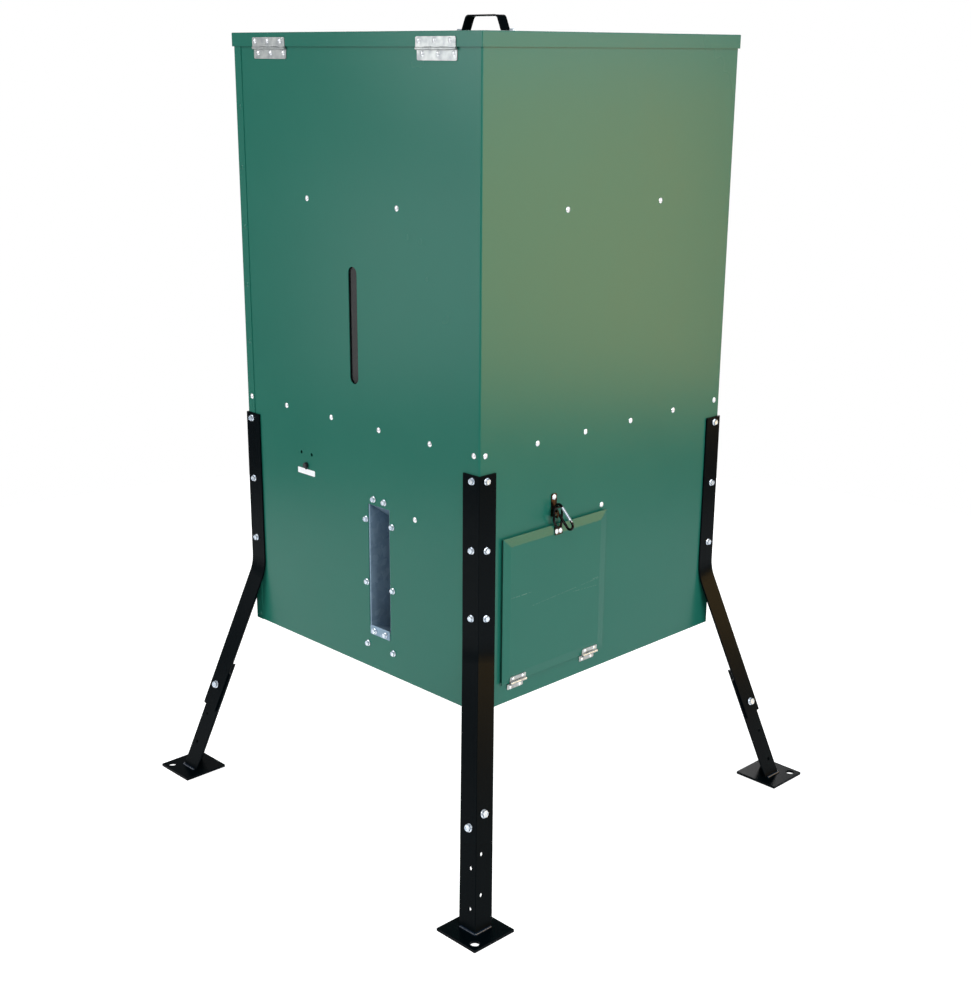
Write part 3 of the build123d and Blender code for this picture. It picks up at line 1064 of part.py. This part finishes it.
# ---- all nodes -----------------------------------------------------------
def all_nodes():
    """Every node of the feeder, by name."""
    window, tape = sight_window()
    lid_upper, lid_lower, lid_pins = lid_hinges()
    door_upper, door_lower, door_pins = door_hinges()
    nodes = {
        "front_shell": front_shell(), "rear_shell": rear_shell(), "seam_rivets": seam_rivets(),
        "body_rivets": body_rivets() + lower_leaf_rivets(), "base_pan": base_pan(),
        "corner_braces": corner_braces(), "sight_window": window, "window_tape": tape,
        "chute_left": chute_plate(-1), "chute_right": chute_plate(1), "chute_scroll": chute_scroll(),
        "chute_hood": chute_hood(), "chute_bolts": chute_bolts(), "impeller": impeller(),
        "motor_shaft": motor_shaft(), "motor": motor(), "battery": battery(), "battery_tray": battery_tray(),
        "control_bracket": control_bracket(), "timer_box": timer_box(), "timer_cover": timer_cover(),
        "timer_display": timer_display(), "inner_screws": inner_screws(), "solar_socket": solar_socket(),
        "socket_cap": socket_cap(), "foot_plates": [turned(foot_plate(), k) for k in SIDES],
        "leg_bolts": leg_bolts(), "adjust_bolts": adjust_bolts(), "lid_pan": lid_pan(),
        "lid_handle": lid_handle(), "handle_bolts": handle_bolts(), "lid_rivets": lid_rivets(),
        "lid_hinge_upper": lid_upper, "lid_hinge_lower": lid_lower, "lid_hinge_pins": lid_pins,
        "door_panel": door_panel(), "door_gasket": door_gasket(), "door_rivets": door_rivets(),
        "door_hinge_upper": door_upper, "door_hinge_lower": door_lower, "door_hinge_pins": door_pins,
        "door_eye": door_eye(), "body_eye": body_eye(), "snap_hook": snap_hook(), "hook_gate": hook_gate(),
    }
    for k, side in enumerate(("front", "right", "back", "left")):
        nodes["funnel_" + side] = funnel_sheet(k)
    upper, lower = upper_leg(), lower_leg()
    for k, corner in enumerate(CORNERS):
        nodes["upper_leg_" + corner] = turned(upper, k)
        nodes["lower_leg_" + corner] = turned(lower, k)
    for i, x in enumerate(BUTTON_X):
        nodes[f"timer_button_{i + 1}"] = timer_button(x)
    return nodes


def solids_of(pieces):
    """All the solids in a piece or a list of pieces."""
    pieces = pieces if isinstance(pieces, list) else [pieces]
    return [solid for piece in pieces for solid in piece.solids()]


os.makedirs("parts", exist_ok=True)
for name, pieces in all_nodes().items():
    solids = solids_of(pieces)
    export_step(solids[0] if len(solids) == 1 else Compound(children=solids), f"parts/{name}.step")
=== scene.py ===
"""Directional game feeder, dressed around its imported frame: powder-coated steel hopper on four angle legs."""

import bpy
import numpy as np
from mathutils import Matrix, Vector


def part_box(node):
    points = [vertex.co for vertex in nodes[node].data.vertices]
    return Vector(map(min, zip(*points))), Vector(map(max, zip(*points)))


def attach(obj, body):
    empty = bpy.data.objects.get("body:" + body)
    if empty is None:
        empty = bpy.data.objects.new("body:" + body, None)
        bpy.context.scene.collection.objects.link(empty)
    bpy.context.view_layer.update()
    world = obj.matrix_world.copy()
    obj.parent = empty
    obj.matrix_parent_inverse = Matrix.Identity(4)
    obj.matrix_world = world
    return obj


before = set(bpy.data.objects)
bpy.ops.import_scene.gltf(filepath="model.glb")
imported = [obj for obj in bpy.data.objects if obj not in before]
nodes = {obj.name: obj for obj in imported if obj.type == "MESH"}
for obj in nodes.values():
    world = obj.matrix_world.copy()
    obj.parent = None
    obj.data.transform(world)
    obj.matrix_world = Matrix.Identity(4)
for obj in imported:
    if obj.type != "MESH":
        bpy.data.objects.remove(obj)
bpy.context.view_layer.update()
MM = 0.001


# ---------------------------------------------------------------------------
# Camera.  It stands about two metres off the front right corner, a little
# below the lid's height, and looks down on the feet.
# ---------------------------------------------------------------------------
CAMERA_AT = Vector((1.91764, -1.87969, 1.36129))
CAMERA_TURN, CAMERA_DIP, CAMERA_ROLL = np.radians((46.136, 17.581, 0.252))
SENSOR_MM = 36
LENS_MM = 54.77206
LENS_SHIFT = (0.0180041, 0.0348676)

ahead = Vector((-np.sin(CAMERA_TURN) * np.cos(CAMERA_DIP),
                np.cos(CAMERA_TURN) * np.cos(CAMERA_DIP), -np.sin(CAMERA_DIP)))
level = Vector((np.cos(CAMERA_TURN), np.sin(CAMERA_TURN), 0))
above = level.cross(ahead)
across = level * np.cos(CAMERA_ROLL) + above * np.sin(CAMERA_ROLL)
upward = above * np.cos(CAMERA_ROLL) - level * np.sin(CAMERA_ROLL)
lens = bpy.data.cameras.new("camera")
lens.sensor_width, lens.lens = SENSOR_MM, LENS_MM
lens.shift_x, lens.shift_y = LENS_SHIFT
lens.clip_end = 50
camera = bpy.data.objects.new("camera", lens)
camera.matrix_world = Matrix.Translation(CAMERA_AT) @ Matrix((across, upward, -ahead)).transposed().to_4x4()
bpy.context.scene.collection.objects.link(camera)
bpy.context.scene.camera = camera
bpy.context.scene.view_settings.view_transform = "Standard"


# ---------------------------------------------------------------------------
# Studio.  A round white paper floor that keeps the feeder's shadow, a white
# backdrop, large soft lamps round it, and two cards behind the right side
# that show only as a sheen on the paint.
# ---------------------------------------------------------------------------
def linear(code):
    """Linear RGBA from an sRGB hex code: the standard's straight toe, then its 2.4 power curve."""
    v = np.array([int(code[i:i + 2], 16) for i in (0, 2, 4)]) / 255
    return (*np.where(v <= 0.04045, v / 12.92, ((v + 0.055) / 1.055) ** 2.4), 1.0)


def add(tree, kind, inputs=(), **settings):
    """Add a node; an input given as a socket is linked, any other value is set on the input itself."""
    item = tree.nodes.new(kind)
    for key, value in settings.items():
        setattr(item, key, value)
    for key, value in dict(inputs).items():
        if isinstance(value, bpy.types.NodeSocket):
            tree.links.new(value, item.inputs[key])
        else:
            item.inputs[key].default_value = value
    return item


def either(tree, first, second):
    """Node that gives the larger of two ray flags, so it is 1 where either is."""
    return add(tree, "ShaderNodeMath", {0: first, 1: second}, operation="MAXIMUM")


def mix_colour(tree, share, first, second):
    """Colour socket that runs from the first colour to the second as share goes from 0 to 1."""
    return add(tree, "ShaderNodeMix", {0: share, 6: first, 7: second}, data_type="RGBA").outputs[2]


def new_material(name):
    """Empty node material: its tree, with the old nodes cleared, and its output."""
    material = bpy.data.materials.new(name)
    material.use_nodes = True
    material.node_tree.nodes.clear()
    return material, material.node_tree, add(material.node_tree, "ShaderNodeOutputMaterial")


def sheet_mesh(name, points):
    """Mesh of a grid of points, rows by columns, whose last column joins the first, so each row is a ring."""
    rows, cols = points.shape[:2]
    i = np.arange(rows - 1)[:, None]
    j = np.arange(cols)[None, :]
    a, b = (i * cols + j), (i * cols + (j + 1) % cols)
    c, d = ((i + 1) * cols + (j + 1) % cols), ((i + 1) * cols + j)
    faces = np.stack([a + 0 * j, b + 0 * i, c, d], -1).reshape(-1, 4)
    mesh = bpy.data.meshes.new(name)
    mesh.from_pydata(points.reshape(-1, 3).tolist(), [], faces.tolist())
    mesh.polygons.foreach_set("use_smooth", np.ones(len(faces), bool))
    mesh.update()
    piece = bpy.data.objects.new(name, mesh)
    bpy.context.scene.collection.objects.link(piece)
    return piece


FLOOR_RADIUS, FLOOR_DROP = 2.3, 0.0005
PAPER_WHITE, PAPER_GLOW = 0.8, 0.72
ROOM_LIGHT, MIRROR_LIGHT = 0.3, 0.2
spread = np.linspace(0, 2 * np.pi, 96, endpoint=False)
reach = np.linspace(0.001, FLOOR_RADIUS, 24)
floor_points = np.empty((len(reach), len(spread), 3))
floor_points[..., 0] = reach[:, None] * np.cos(spread)
floor_points[..., 1] = reach[:, None] * np.sin(spread)
floor_points[..., 2] = -FLOOR_DROP
floor = sheet_mesh("floor", floor_points)
material, tree, out = new_material("white_paper")
rays = add(tree, "ShaderNodeLightPath")
shadow = add(tree, "ShaderNodeBsdfDiffuse", {"Color": (PAPER_WHITE, PAPER_WHITE, PAPER_WHITE, 1)})
white = add(tree, "ShaderNodeEmission", {"Color": (1, 1, 1, 1), "Strength": PAPER_GLOW})
paper = add(tree, "ShaderNodeAddShader", {0: shadow.outputs[0], 1: white.outputs[0]})
seen = either(tree, rays.outputs["Is Camera Ray"], rays.outputs["Is Glossy Ray"])
seen = either(tree, seen.outputs[0], rays.outputs["Is Transmission Ray"])
only = add(tree, "ShaderNodeMixShader", {0: seen.outputs[0], 1: shadow.outputs[0], 2: paper.outputs[0]})
tree.links.new(only.outputs[0], out.inputs["Surface"])
floor.data.materials.append(material)

world = bpy.data.worlds.new("studio")
world.use_nodes = True
bpy.context.scene.world = world
tree = world.node_tree
tree.nodes.clear()
rays = add(tree, "ShaderNodeLightPath")
shown = either(tree, rays.outputs["Is Camera Ray"], rays.outputs["Is Transmission Ray"])
room = add(tree, "ShaderNodeBackground", {"Color": (1, 1, 1, 1), "Strength": ROOM_LIGHT})
mirror = add(tree, "ShaderNodeBackground", {"Color": (1, 1, 1, 1), "Strength": MIRROR_LIGHT})
white = add(tree, "ShaderNodeBackground", {"Color": (1, 1, 1, 1), "Strength": 1.0})
glossy = rays.outputs["Is Glossy Ray"]
both = add(tree, "ShaderNodeMixShader", {0: glossy, 1: room.outputs[0], 2: mirror.outputs[0]})
both = add(tree, "ShaderNodeMixShader", {0: shown.outputs[0], 1: both.outputs[0], 2: white.outputs[0]})
tree.links.new(both.outputs[0], add(tree, "ShaderNodeOutputWorld").inputs["Surface"])


def softbox(name, at, target, size, power, tint=(1, 1, 1)):
    """Rectangular area lamp aimed at a point."""
    lamp = bpy.data.lights.new(name, "AREA")
    lamp.shape, lamp.size, lamp.size_y = "RECTANGLE", *size
    lamp.energy, lamp.color = power, tint
    item = bpy.data.objects.new(name, lamp)
    item.location = at
    item.rotation_euler = (Vector(target) - Vector(at)).to_track_quat("-Z", "Y").to_euler()
    bpy.context.scene.collection.objects.link(item)
    return item


softbox("left", (-1.5, -2.8, 2.0), (0.2, -0.3, 1.1), (1.6, 1.7), 47)
softbox("low_left", (-1.7, -2.6, 0.6), (0.2, -0.3, 0.6), (1.6, 0.8), 9)
softbox("key", (2.4, -2.8, 2.8), (0, 0, 0.8), (2.0, 2.0), 23)
softbox("side", (4.2, -0.6, 2.4), (0, 0, 0.8), (2.4, 2.4), 120)
softbox("near", (1.25, -1.25, 2.3), (0.3, -0.3, 0.9), (0.5, 0.5), 6)
softbox("back", (-3.0, 3.4, 2.4), (0, 0, 0.8), (2.6, 2.6), 90)
for card in (softbox("pale_card", (2.8, 1.9, 2.2), (0.3, -0.1, 1.2), (2.2, 1.6), 51),
             softbox("warm_card", (2.7, 1.9, 0.75), (0.3, -0.1, 0.9), (2.2, 1.3), 52, (1, 0.62, 0.19))):
    card.visible_diffuse = False


# ---------------------------------------------------------------------------
# Body, lid and door: cold-rolled sheet, folded, then powder coated green.
# The baked powder leaves a semi-gloss skin with a fine orange peel, slightly
# cloudy in tone, with faint rub marks where the door is handled.
# ---------------------------------------------------------------------------
def stroke(tree, place, middle, slope, size):
    """Mask of one straight rub on a face across X: 1 along a line, fading at its ends and sides."""
    local = add(tree, "ShaderNodeMapping", {
        "Vector": place, "Location": (0, middle[0] * MM, middle[1] * MM), "Rotation": (slope, 0, 0)},
        vector_type="TEXTURE")
    part = add(tree, "ShaderNodeSeparateXYZ", {"Vector": local.outputs[0]})
    mask = None
    for axis, half, soft in (("Y", size[0] / 2, 9.0), ("Z", size[1] / 2, size[1] / 2)):
        away = add(tree, "ShaderNodeMath", {0: part.outputs[axis]}, operation="ABSOLUTE")
        near = add(tree, "ShaderNodeMapRange", {
            0: away.outputs[0], 1: half * MM, 2: max(half - soft, 0) * MM, 3: 0.0, 4: 1.0})
        if mask is None:
            mask = near
        else:
            mask = add(tree, "ShaderNodeMath", {0: mask.outputs[0], 1: near.outputs[0]}, operation="MULTIPLY")
    return mask.outputs[0]


def powder_coat(name, hue, shade, rough, peel_mm, peel, shine=0.5, rubs=()):
    """Powder coat: two close tones mixed by slow noise, varied gloss, peel_mm grain and broken rubs."""
    material, tree, out = new_material(name)
    place = add(tree, "ShaderNodeTexCoord").outputs["Object"]
    cloud = add(tree, "ShaderNodeTexNoise", {"Vector": place, "Scale": 5.0, "Detail": 3.0})
    colour = mix_colour(tree, cloud.outputs[0], linear(hue), linear(shade))
    gloss = add(tree, "ShaderNodeMapRange", {0: cloud.outputs[0], 3: rough - 0.04, 4: rough + 0.04})
    if rubs:
        broken = add(tree, "ShaderNodeTexNoise", {"Vector": place, "Scale": 260.0, "Detail": 1.0})
        broken = add(tree, "ShaderNodeMapRange", {0: broken.outputs[0], 1: 0.42, 2: 0.6})
    for middle, slope, size, depth in rubs:
        line = stroke(tree, place, middle, slope, size)
        mark = add(tree, "ShaderNodeMath", {0: line, 1: broken.outputs[0]}, operation="MULTIPLY")
        mark = add(tree, "ShaderNodeMath", {0: mark.outputs[0], 1: depth}, operation="MULTIPLY")
        colour = mix_colour(tree, mark.outputs[0], colour, linear("b9cbb8"))
    grain = add(tree, "ShaderNodeTexNoise", {"Vector": place, "Scale": 1000 / peel_mm, "Detail": 2.0})
    bump = add(tree, "ShaderNodeBump", {"Height": grain.outputs[0], "Strength": peel, "Distance": 0.3 * MM})
    paint = add(tree, "ShaderNodeBsdfPrincipled", {
        "Base Color": colour, "Roughness": gloss.outputs[0], "IOR": 1.5, "Specular IOR Level": shine,
        "Normal": bump.outputs[0]})
    tree.links.new(paint.outputs[0], out.inputs["Surface"])
    return material


def dress(material, *names):
    """Give CAD nodes a finish."""
    for name in names:
        slots = nodes[name].data.materials
        slots.clear()
        slots.append(material)


GREEN = ("1b6355", "1f6859")
green = powder_coat("green_powder_coat", *GREEN, 0.26, 2.6, 0.10, 0.22)
dress(green, "front_shell", "rear_shell", "lid_pan", "seam_rivets", "base_pan",
      "funnel_front", "funnel_right", "funnel_back", "funnel_left")
RUBS = (((-214.3, 508.2), 0.0, (52, 1.3), 0.30), ((-108.4, 487.8), 0.056, (182, 1.2), 0.13),
        ((-55.3, 481.7), -0.053, (76, 1.1), 0.16), ((-30.3, 494.3), 0.02, (20, 1.5), 0.30))
dress(powder_coat("green_powder_coat_rubbed", *GREEN, 0.26, 2.6, 0.10, 0.22, RUBS), "door_panel")


# ---------------------------------------------------------------------------
# Legs, feet and lid handle: hot-rolled angle and plate, powder coated black.
# The coat is glossier than the body's and shows the steel's slight waviness.
# ---------------------------------------------------------------------------
black = powder_coat("black_powder_coat", "02070a", "03090d", 0.24, 2.2, 0.14, shine=0.03)
CORNERS = ("front_right", "rear_right", "rear_left", "front_left")
dress(black, "foot_plates", "lid_handle",
      *["upper_leg_" + corner for corner in CORNERS], *["lower_leg_" + corner for corner in CORNERS])


# ---------------------------------------------------------------------------
# Hinges, rivets, bolts and the latch: zinc-plated steel.  Fresh zinc is bright
# and bluish, cloudy over a few millimetres, with fine drawn lines.
# ---------------------------------------------------------------------------
def plated(name, light, dark, rough, cloud_mm, scratch=0.0, metallic=1.0):
    """Plated or rolled metal: two tones clouded over cloud_mm, roughness following, and fine drawn lines."""
    material, tree, out = new_material(name)
    place = add(tree, "ShaderNodeTexCoord").outputs["Object"]
    cloud = add(tree, "ShaderNodeTexNoise", {"Vector": place, "Scale": 1000 / cloud_mm, "Detail": 3.0})
    part = add(tree, "ShaderNodeMapRange", {0: cloud.outputs[0], 1: 0.35, 2: 0.65})
    tone = mix_colour(tree, part.outputs[0], linear(light), linear(dark))
    gloss = add(tree, "ShaderNodeMapRange", {0: cloud.outputs[0], 3: rough - 0.07, 4: rough + 0.07})
    stretch = add(tree, "ShaderNodeMapping", {"Vector": place, "Scale": (60, 60, 1500)})
    drawn = add(tree, "ShaderNodeTexNoise", {"Vector": stretch.outputs[0], "Scale": 1.0, "Detail": 2.0})
    bump = add(tree, "ShaderNodeBump", {
        "Height": drawn.outputs[0], "Strength": scratch, "Distance": 0.1 * MM})
    metal = add(tree, "ShaderNodeBsdfPrincipled", {
        "Base Color": tone, "Metallic": metallic, "Roughness": gloss.outputs[0], "Normal": bump.outputs[0]})
    tree.links.new(metal.outputs[0], out.inputs["Surface"])
    return material


dress(plated("bright_zinc_plate", "e4ebf2", "bccbdc", 0.26, 6, 0.2, 0.6),
      "chute_bolts", "leg_bolts", "adjust_bolts", "handle_bolts", "inner_screws", "hook_gate")
dress(plated("aluminium_rivets", "f2f4f6", "dfe4ea", 0.24, 4, 0.1, 0.5),
      "body_rivets", "lid_rivets", "door_rivets")
dress(plated("zinc_plated_hinge", "b3b7b6", "92979a", 0.34, 14, 0.5, 0.6),
      "lid_hinge_upper", "lid_hinge_lower", "lid_hinge_pins",
      "door_hinge_upper", "door_hinge_lower", "door_hinge_pins")
dress(plated("blackened_wire", "2b2a2a", "100f10", 0.22, 5, 0.2), "door_eye", "snap_hook")
# Body eye: dark metal tinted brown to tan, a painted warm reflection on it.
dress(plated("dark_steel_painted_warm_reflection", "4c3622", "17120e", 0.30, 8, 0.3), "body_eye")
dress(plated("plain_turned_steel", "b4b6b8", "8f9295", 0.32, 20, 0.5), "impeller", "motor_shaft", "motor")


# ---------------------------------------------------------------------------
# Chute, straps and tray: hot-dip galvanised sheet.  The zinc freezes in
# spangles about ten millimetres across, each a slightly different grey.
# ---------------------------------------------------------------------------
material, tree, out = new_material("galvanised_sheet")
place = add(tree, "ShaderNodeTexCoord").outputs["Object"]
ripple = add(tree, "ShaderNodeTexNoise", {"Vector": place, "Scale": 60.0, "Detail": 2.0})
warped = add(tree, "ShaderNodeMix", {0: 0.02, 4: place, 5: ripple.outputs[1]}, data_type="VECTOR")
spangle = add(tree, "ShaderNodeTexVoronoi", {"Vector": warped.outputs[1], "Scale": 100.0})
grey = add(tree, "ShaderNodeSeparateColor", {"Color": spangle.outputs["Color"]})
tone = mix_colour(tree, grey.outputs[0], linear("8fa8bb"), linear("7c94a8"))
gloss = add(tree, "ShaderNodeMapRange", {0: grey.outputs[1], 3: 0.40, 4: 0.52})
metal = add(tree, "ShaderNodeBsdfPrincipled", {
    "Base Color": tone, "Metallic": 0.5, "Roughness": gloss.outputs[0]})
tree.links.new(metal.outputs[0], out.inputs["Surface"])
dress(material, "chute_left", "chute_right", "chute_scroll", "chute_hood",
      "corner_braces", "battery_tray", "control_bracket")


# ---------------------------------------------------------------------------
# Plastics and foam: the battery, timer, socket and cap are moulded with a
# fine spark-eroded grain; the tape and door seal are closed-cell foam, the
# door seal's black also standing in as painted shade in the gap along the
# door's edge; the window is a smoked strip.
# ---------------------------------------------------------------------------
def moulded(name, hue, rough, grain_mm, grain):
    """Moulded plastic: one tone, faintly mottled, with a bump of grain_mm texture."""
    material, tree, out = new_material(name)
    place = add(tree, "ShaderNodeTexCoord").outputs["Object"]
    cells = add(tree, "ShaderNodeTexNoise", {"Vector": place, "Scale": 1000 / grain_mm, "Detail": 2.0})
    tone = add(tree, "ShaderNodeHueSaturation", {"Color": linear(hue)})
    lift = add(tree, "ShaderNodeMapRange", {0: cells.outputs[0], 3: 0.9, 4: 1.1})
    tree.links.new(lift.outputs[0], tone.inputs["Value"])
    bump = add(tree, "ShaderNodeBump", {"Height": cells.outputs[0], "Strength": grain, "Distance": 0.2 * MM})
    plastic = add(tree, "ShaderNodeBsdfPrincipled", {
        "Base Color": tone.outputs[0], "Roughness": rough, "IOR": 1.5, "Normal": bump.outputs[0]})
    tree.links.new(plastic.outputs[0], out.inputs["Surface"])
    return material


dress(moulded("black_abs", "131416", 0.5, 1.2, 0.2), "battery", "timer_box", "timer_cover")
# Socket and cap: black plastic tinted navy, a painted bluish reflection.
dress(moulded("black_abs_painted_blue_reflection", "060a12", 0.4, 1.2, 0.2), "solar_socket", "socket_cap")
dress(moulded("grey_abs_buttons", "8b8e90", 0.45, 1.2, 0.1),
      "timer_button_1", "timer_button_2", "timer_button_3")
dress(moulded("display_lens", "59664f", 0.12, 5.0, 0.02), "timer_display")
# The door seal's black also paints the shade in the gap along the door's edge.
dress(moulded("foam_and_painted_gap_shade", "161617", 0.9, 1.5, 0.6), "window_tape", "door_gasket")

material, tree, out = new_material("smoked_polycarbonate")
place = add(tree, "ShaderNodeTexCoord").outputs["Object"]
haze = add(tree, "ShaderNodeTexNoise", {"Vector": place, "Scale": 30.0, "Detail": 3.0})
gloss = add(tree, "ShaderNodeMapRange", {0: haze.outputs[0], 3: 0.04, 4: 0.14})
clear = add(tree, "ShaderNodeBsdfPrincipled", {
    "Base Color": linear("1b2022"), "Roughness": gloss.outputs[0], "IOR": 1.3, "Specular IOR Level": 0.1,
    "Transmission Weight": 0.7})
tree.links.new(clear.outputs[0], out.inputs["Surface"])
dress(material, "sight_window")


# ---------------------------------------------------------------------------
# Weld beads: each lower angle stands on its foot plate in a fillet weld laid
# round the angle's outer corner, then coated black with the leg.  Their coat is
# painted lighter and bluer than the leg's: a painted sheen on the rounded bead.
# ---------------------------------------------------------------------------
def weld_bead(name, corner, ways, run, radius, pitch):
    """Bead along two legs of a corner: a tube whose radius swells once per pitch and closes at both ends."""
    s_along = np.linspace(-1, 1, 181)
    bend = 0.04
    first = np.clip(-s_along - bend, 0, None) * run
    second = np.clip(s_along - bend, 0, None) * run
    around = np.clip(s_along / bend, -1, 1) * np.pi / 4 + np.pi / 4
    arc = bend * run * 4 / np.pi
    x = corner[0] - ways[0] * (first + arc * (1 - np.sin(around)))
    y = corner[1] - ways[1] * (second + arc * (1 - np.cos(around)))
    path = np.stack([x, y, np.full_like(x, corner[2])], -1)
    ahead_of = np.gradient(path, axis=0)
    ahead_of /= np.linalg.norm(ahead_of, axis=1)[:, None]
    out = np.cross(ahead_of, (0, 0, 1))
    swell = 1 + 0.13 * np.abs(np.sin(np.pi * s_along * run / pitch)) + 0.05 * np.sin(5 * s_along)
    ends = np.sqrt(np.clip(1 - np.clip((np.abs(s_along) - 0.93) / 0.07, 0, 1) ** 2, 0.0004, 1))
    turn_by = np.linspace(0, 2 * np.pi, 20, endpoint=False)
    ring = (np.cos(turn_by)[None, :, None] * out[:, None, :]
            + np.sin(turn_by)[None, :, None] * np.array((0, 0, 1.0))[None, None, :])
    return sheet_mesh(name, path[:, None, :] + ring * (radius * swell * ends)[:, None, None])


# Navy-tinted black: a painted bluish sheen on the beads' black coat.
beads = powder_coat("black_coat_with_painted_sheen_on_weld", "0a1420", "152536", 0.16, 1.4, 0.3)
BEAD_RUN, BEAD_RADIUS, BEAD_PITCH = 36 * MM, 2.4 * MM, 2.8 * MM
for name, sx, sy in zip(CORNERS, (1, 1, -1, -1), (-1, 1, 1, -1)):
    low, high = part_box("lower_leg_" + name)
    edge = (high[0] if sx > 0 else low[0], high[1] if sy > 0 else low[1])
    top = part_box("foot_plates")[1][2] + 0.4 * MM
    bead = weld_bead("weld_bead_" + name, (edge[0] + sx * 0.5 * MM, edge[1] + sy * 0.5 * MM, top),
                     (sx, sy), BEAD_RUN, BEAD_RADIUS, BEAD_PITCH)
    bead.data.materials.append(beads)
    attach(bead, "body")


# ---------------------------------------------------------------------------
# Label under the power socket: a blank strip of white vinyl, its corners
# rounded, stuck flat on the paint.
# ---------------------------------------------------------------------------
LABEL_SIZE, LABEL_CORNER, LABEL_THICK = (48.5 * MM, 10.4 * MM), 1.6 * MM, 0.16 * MM
low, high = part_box("solar_socket")
LABEL_MID = ((low[0] + high[0]) / 2 - 0.9 * MM, (low[2] + high[2]) / 2 - 12.3 * MM)
front_wall = low[1] + 2.5 * MM
turn_by = np.linspace(0, 2 * np.pi, 96, endpoint=False) + 0.001
reach = np.array(LABEL_SIZE) / 2 - LABEL_CORNER
edge_x = np.sign(np.cos(turn_by)) * reach[0] + LABEL_CORNER * np.cos(turn_by)
edge_z = np.sign(np.sin(turn_by)) * reach[1] + LABEL_CORNER * np.sin(turn_by)
share = np.array([0, 0.25, 0.5, 0.75, 0.9, 0.99, 1.0, 1.0, 0.0])
depth = np.array([1, 1, 1, 1, 1, 1, 0.9, 0.1, 0.1]) * LABEL_THICK
label_points = np.empty((len(share), len(turn_by), 3))
label_points[..., 0] = LABEL_MID[0] + share[:, None] * edge_x[None, :]
label_points[..., 1] = front_wall - depth[:, None]
label_points[..., 2] = LABEL_MID[1] + share[:, None] * edge_z[None, :]
label = sheet_mesh("blank_label", label_points)
material, tree, out = new_material("white_vinyl")
place = add(tree, "ShaderNodeTexCoord").outputs["Object"]
fleck = add(tree, "ShaderNodeTexNoise", {"Vector": place, "Scale": 220.0, "Detail": 2.0})
tone = mix_colour(tree, fleck.outputs[0], linear("fbfcfd"), linear("e9eef3"))
vinyl = add(tree, "ShaderNodeBsdfPrincipled", {"Base Color": tone, "Roughness": 0.4, "IOR": 1.45})
tree.links.new(vinyl.outputs[0], out.inputs["Surface"])
label.data.materials.append(material)
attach(label, "body")
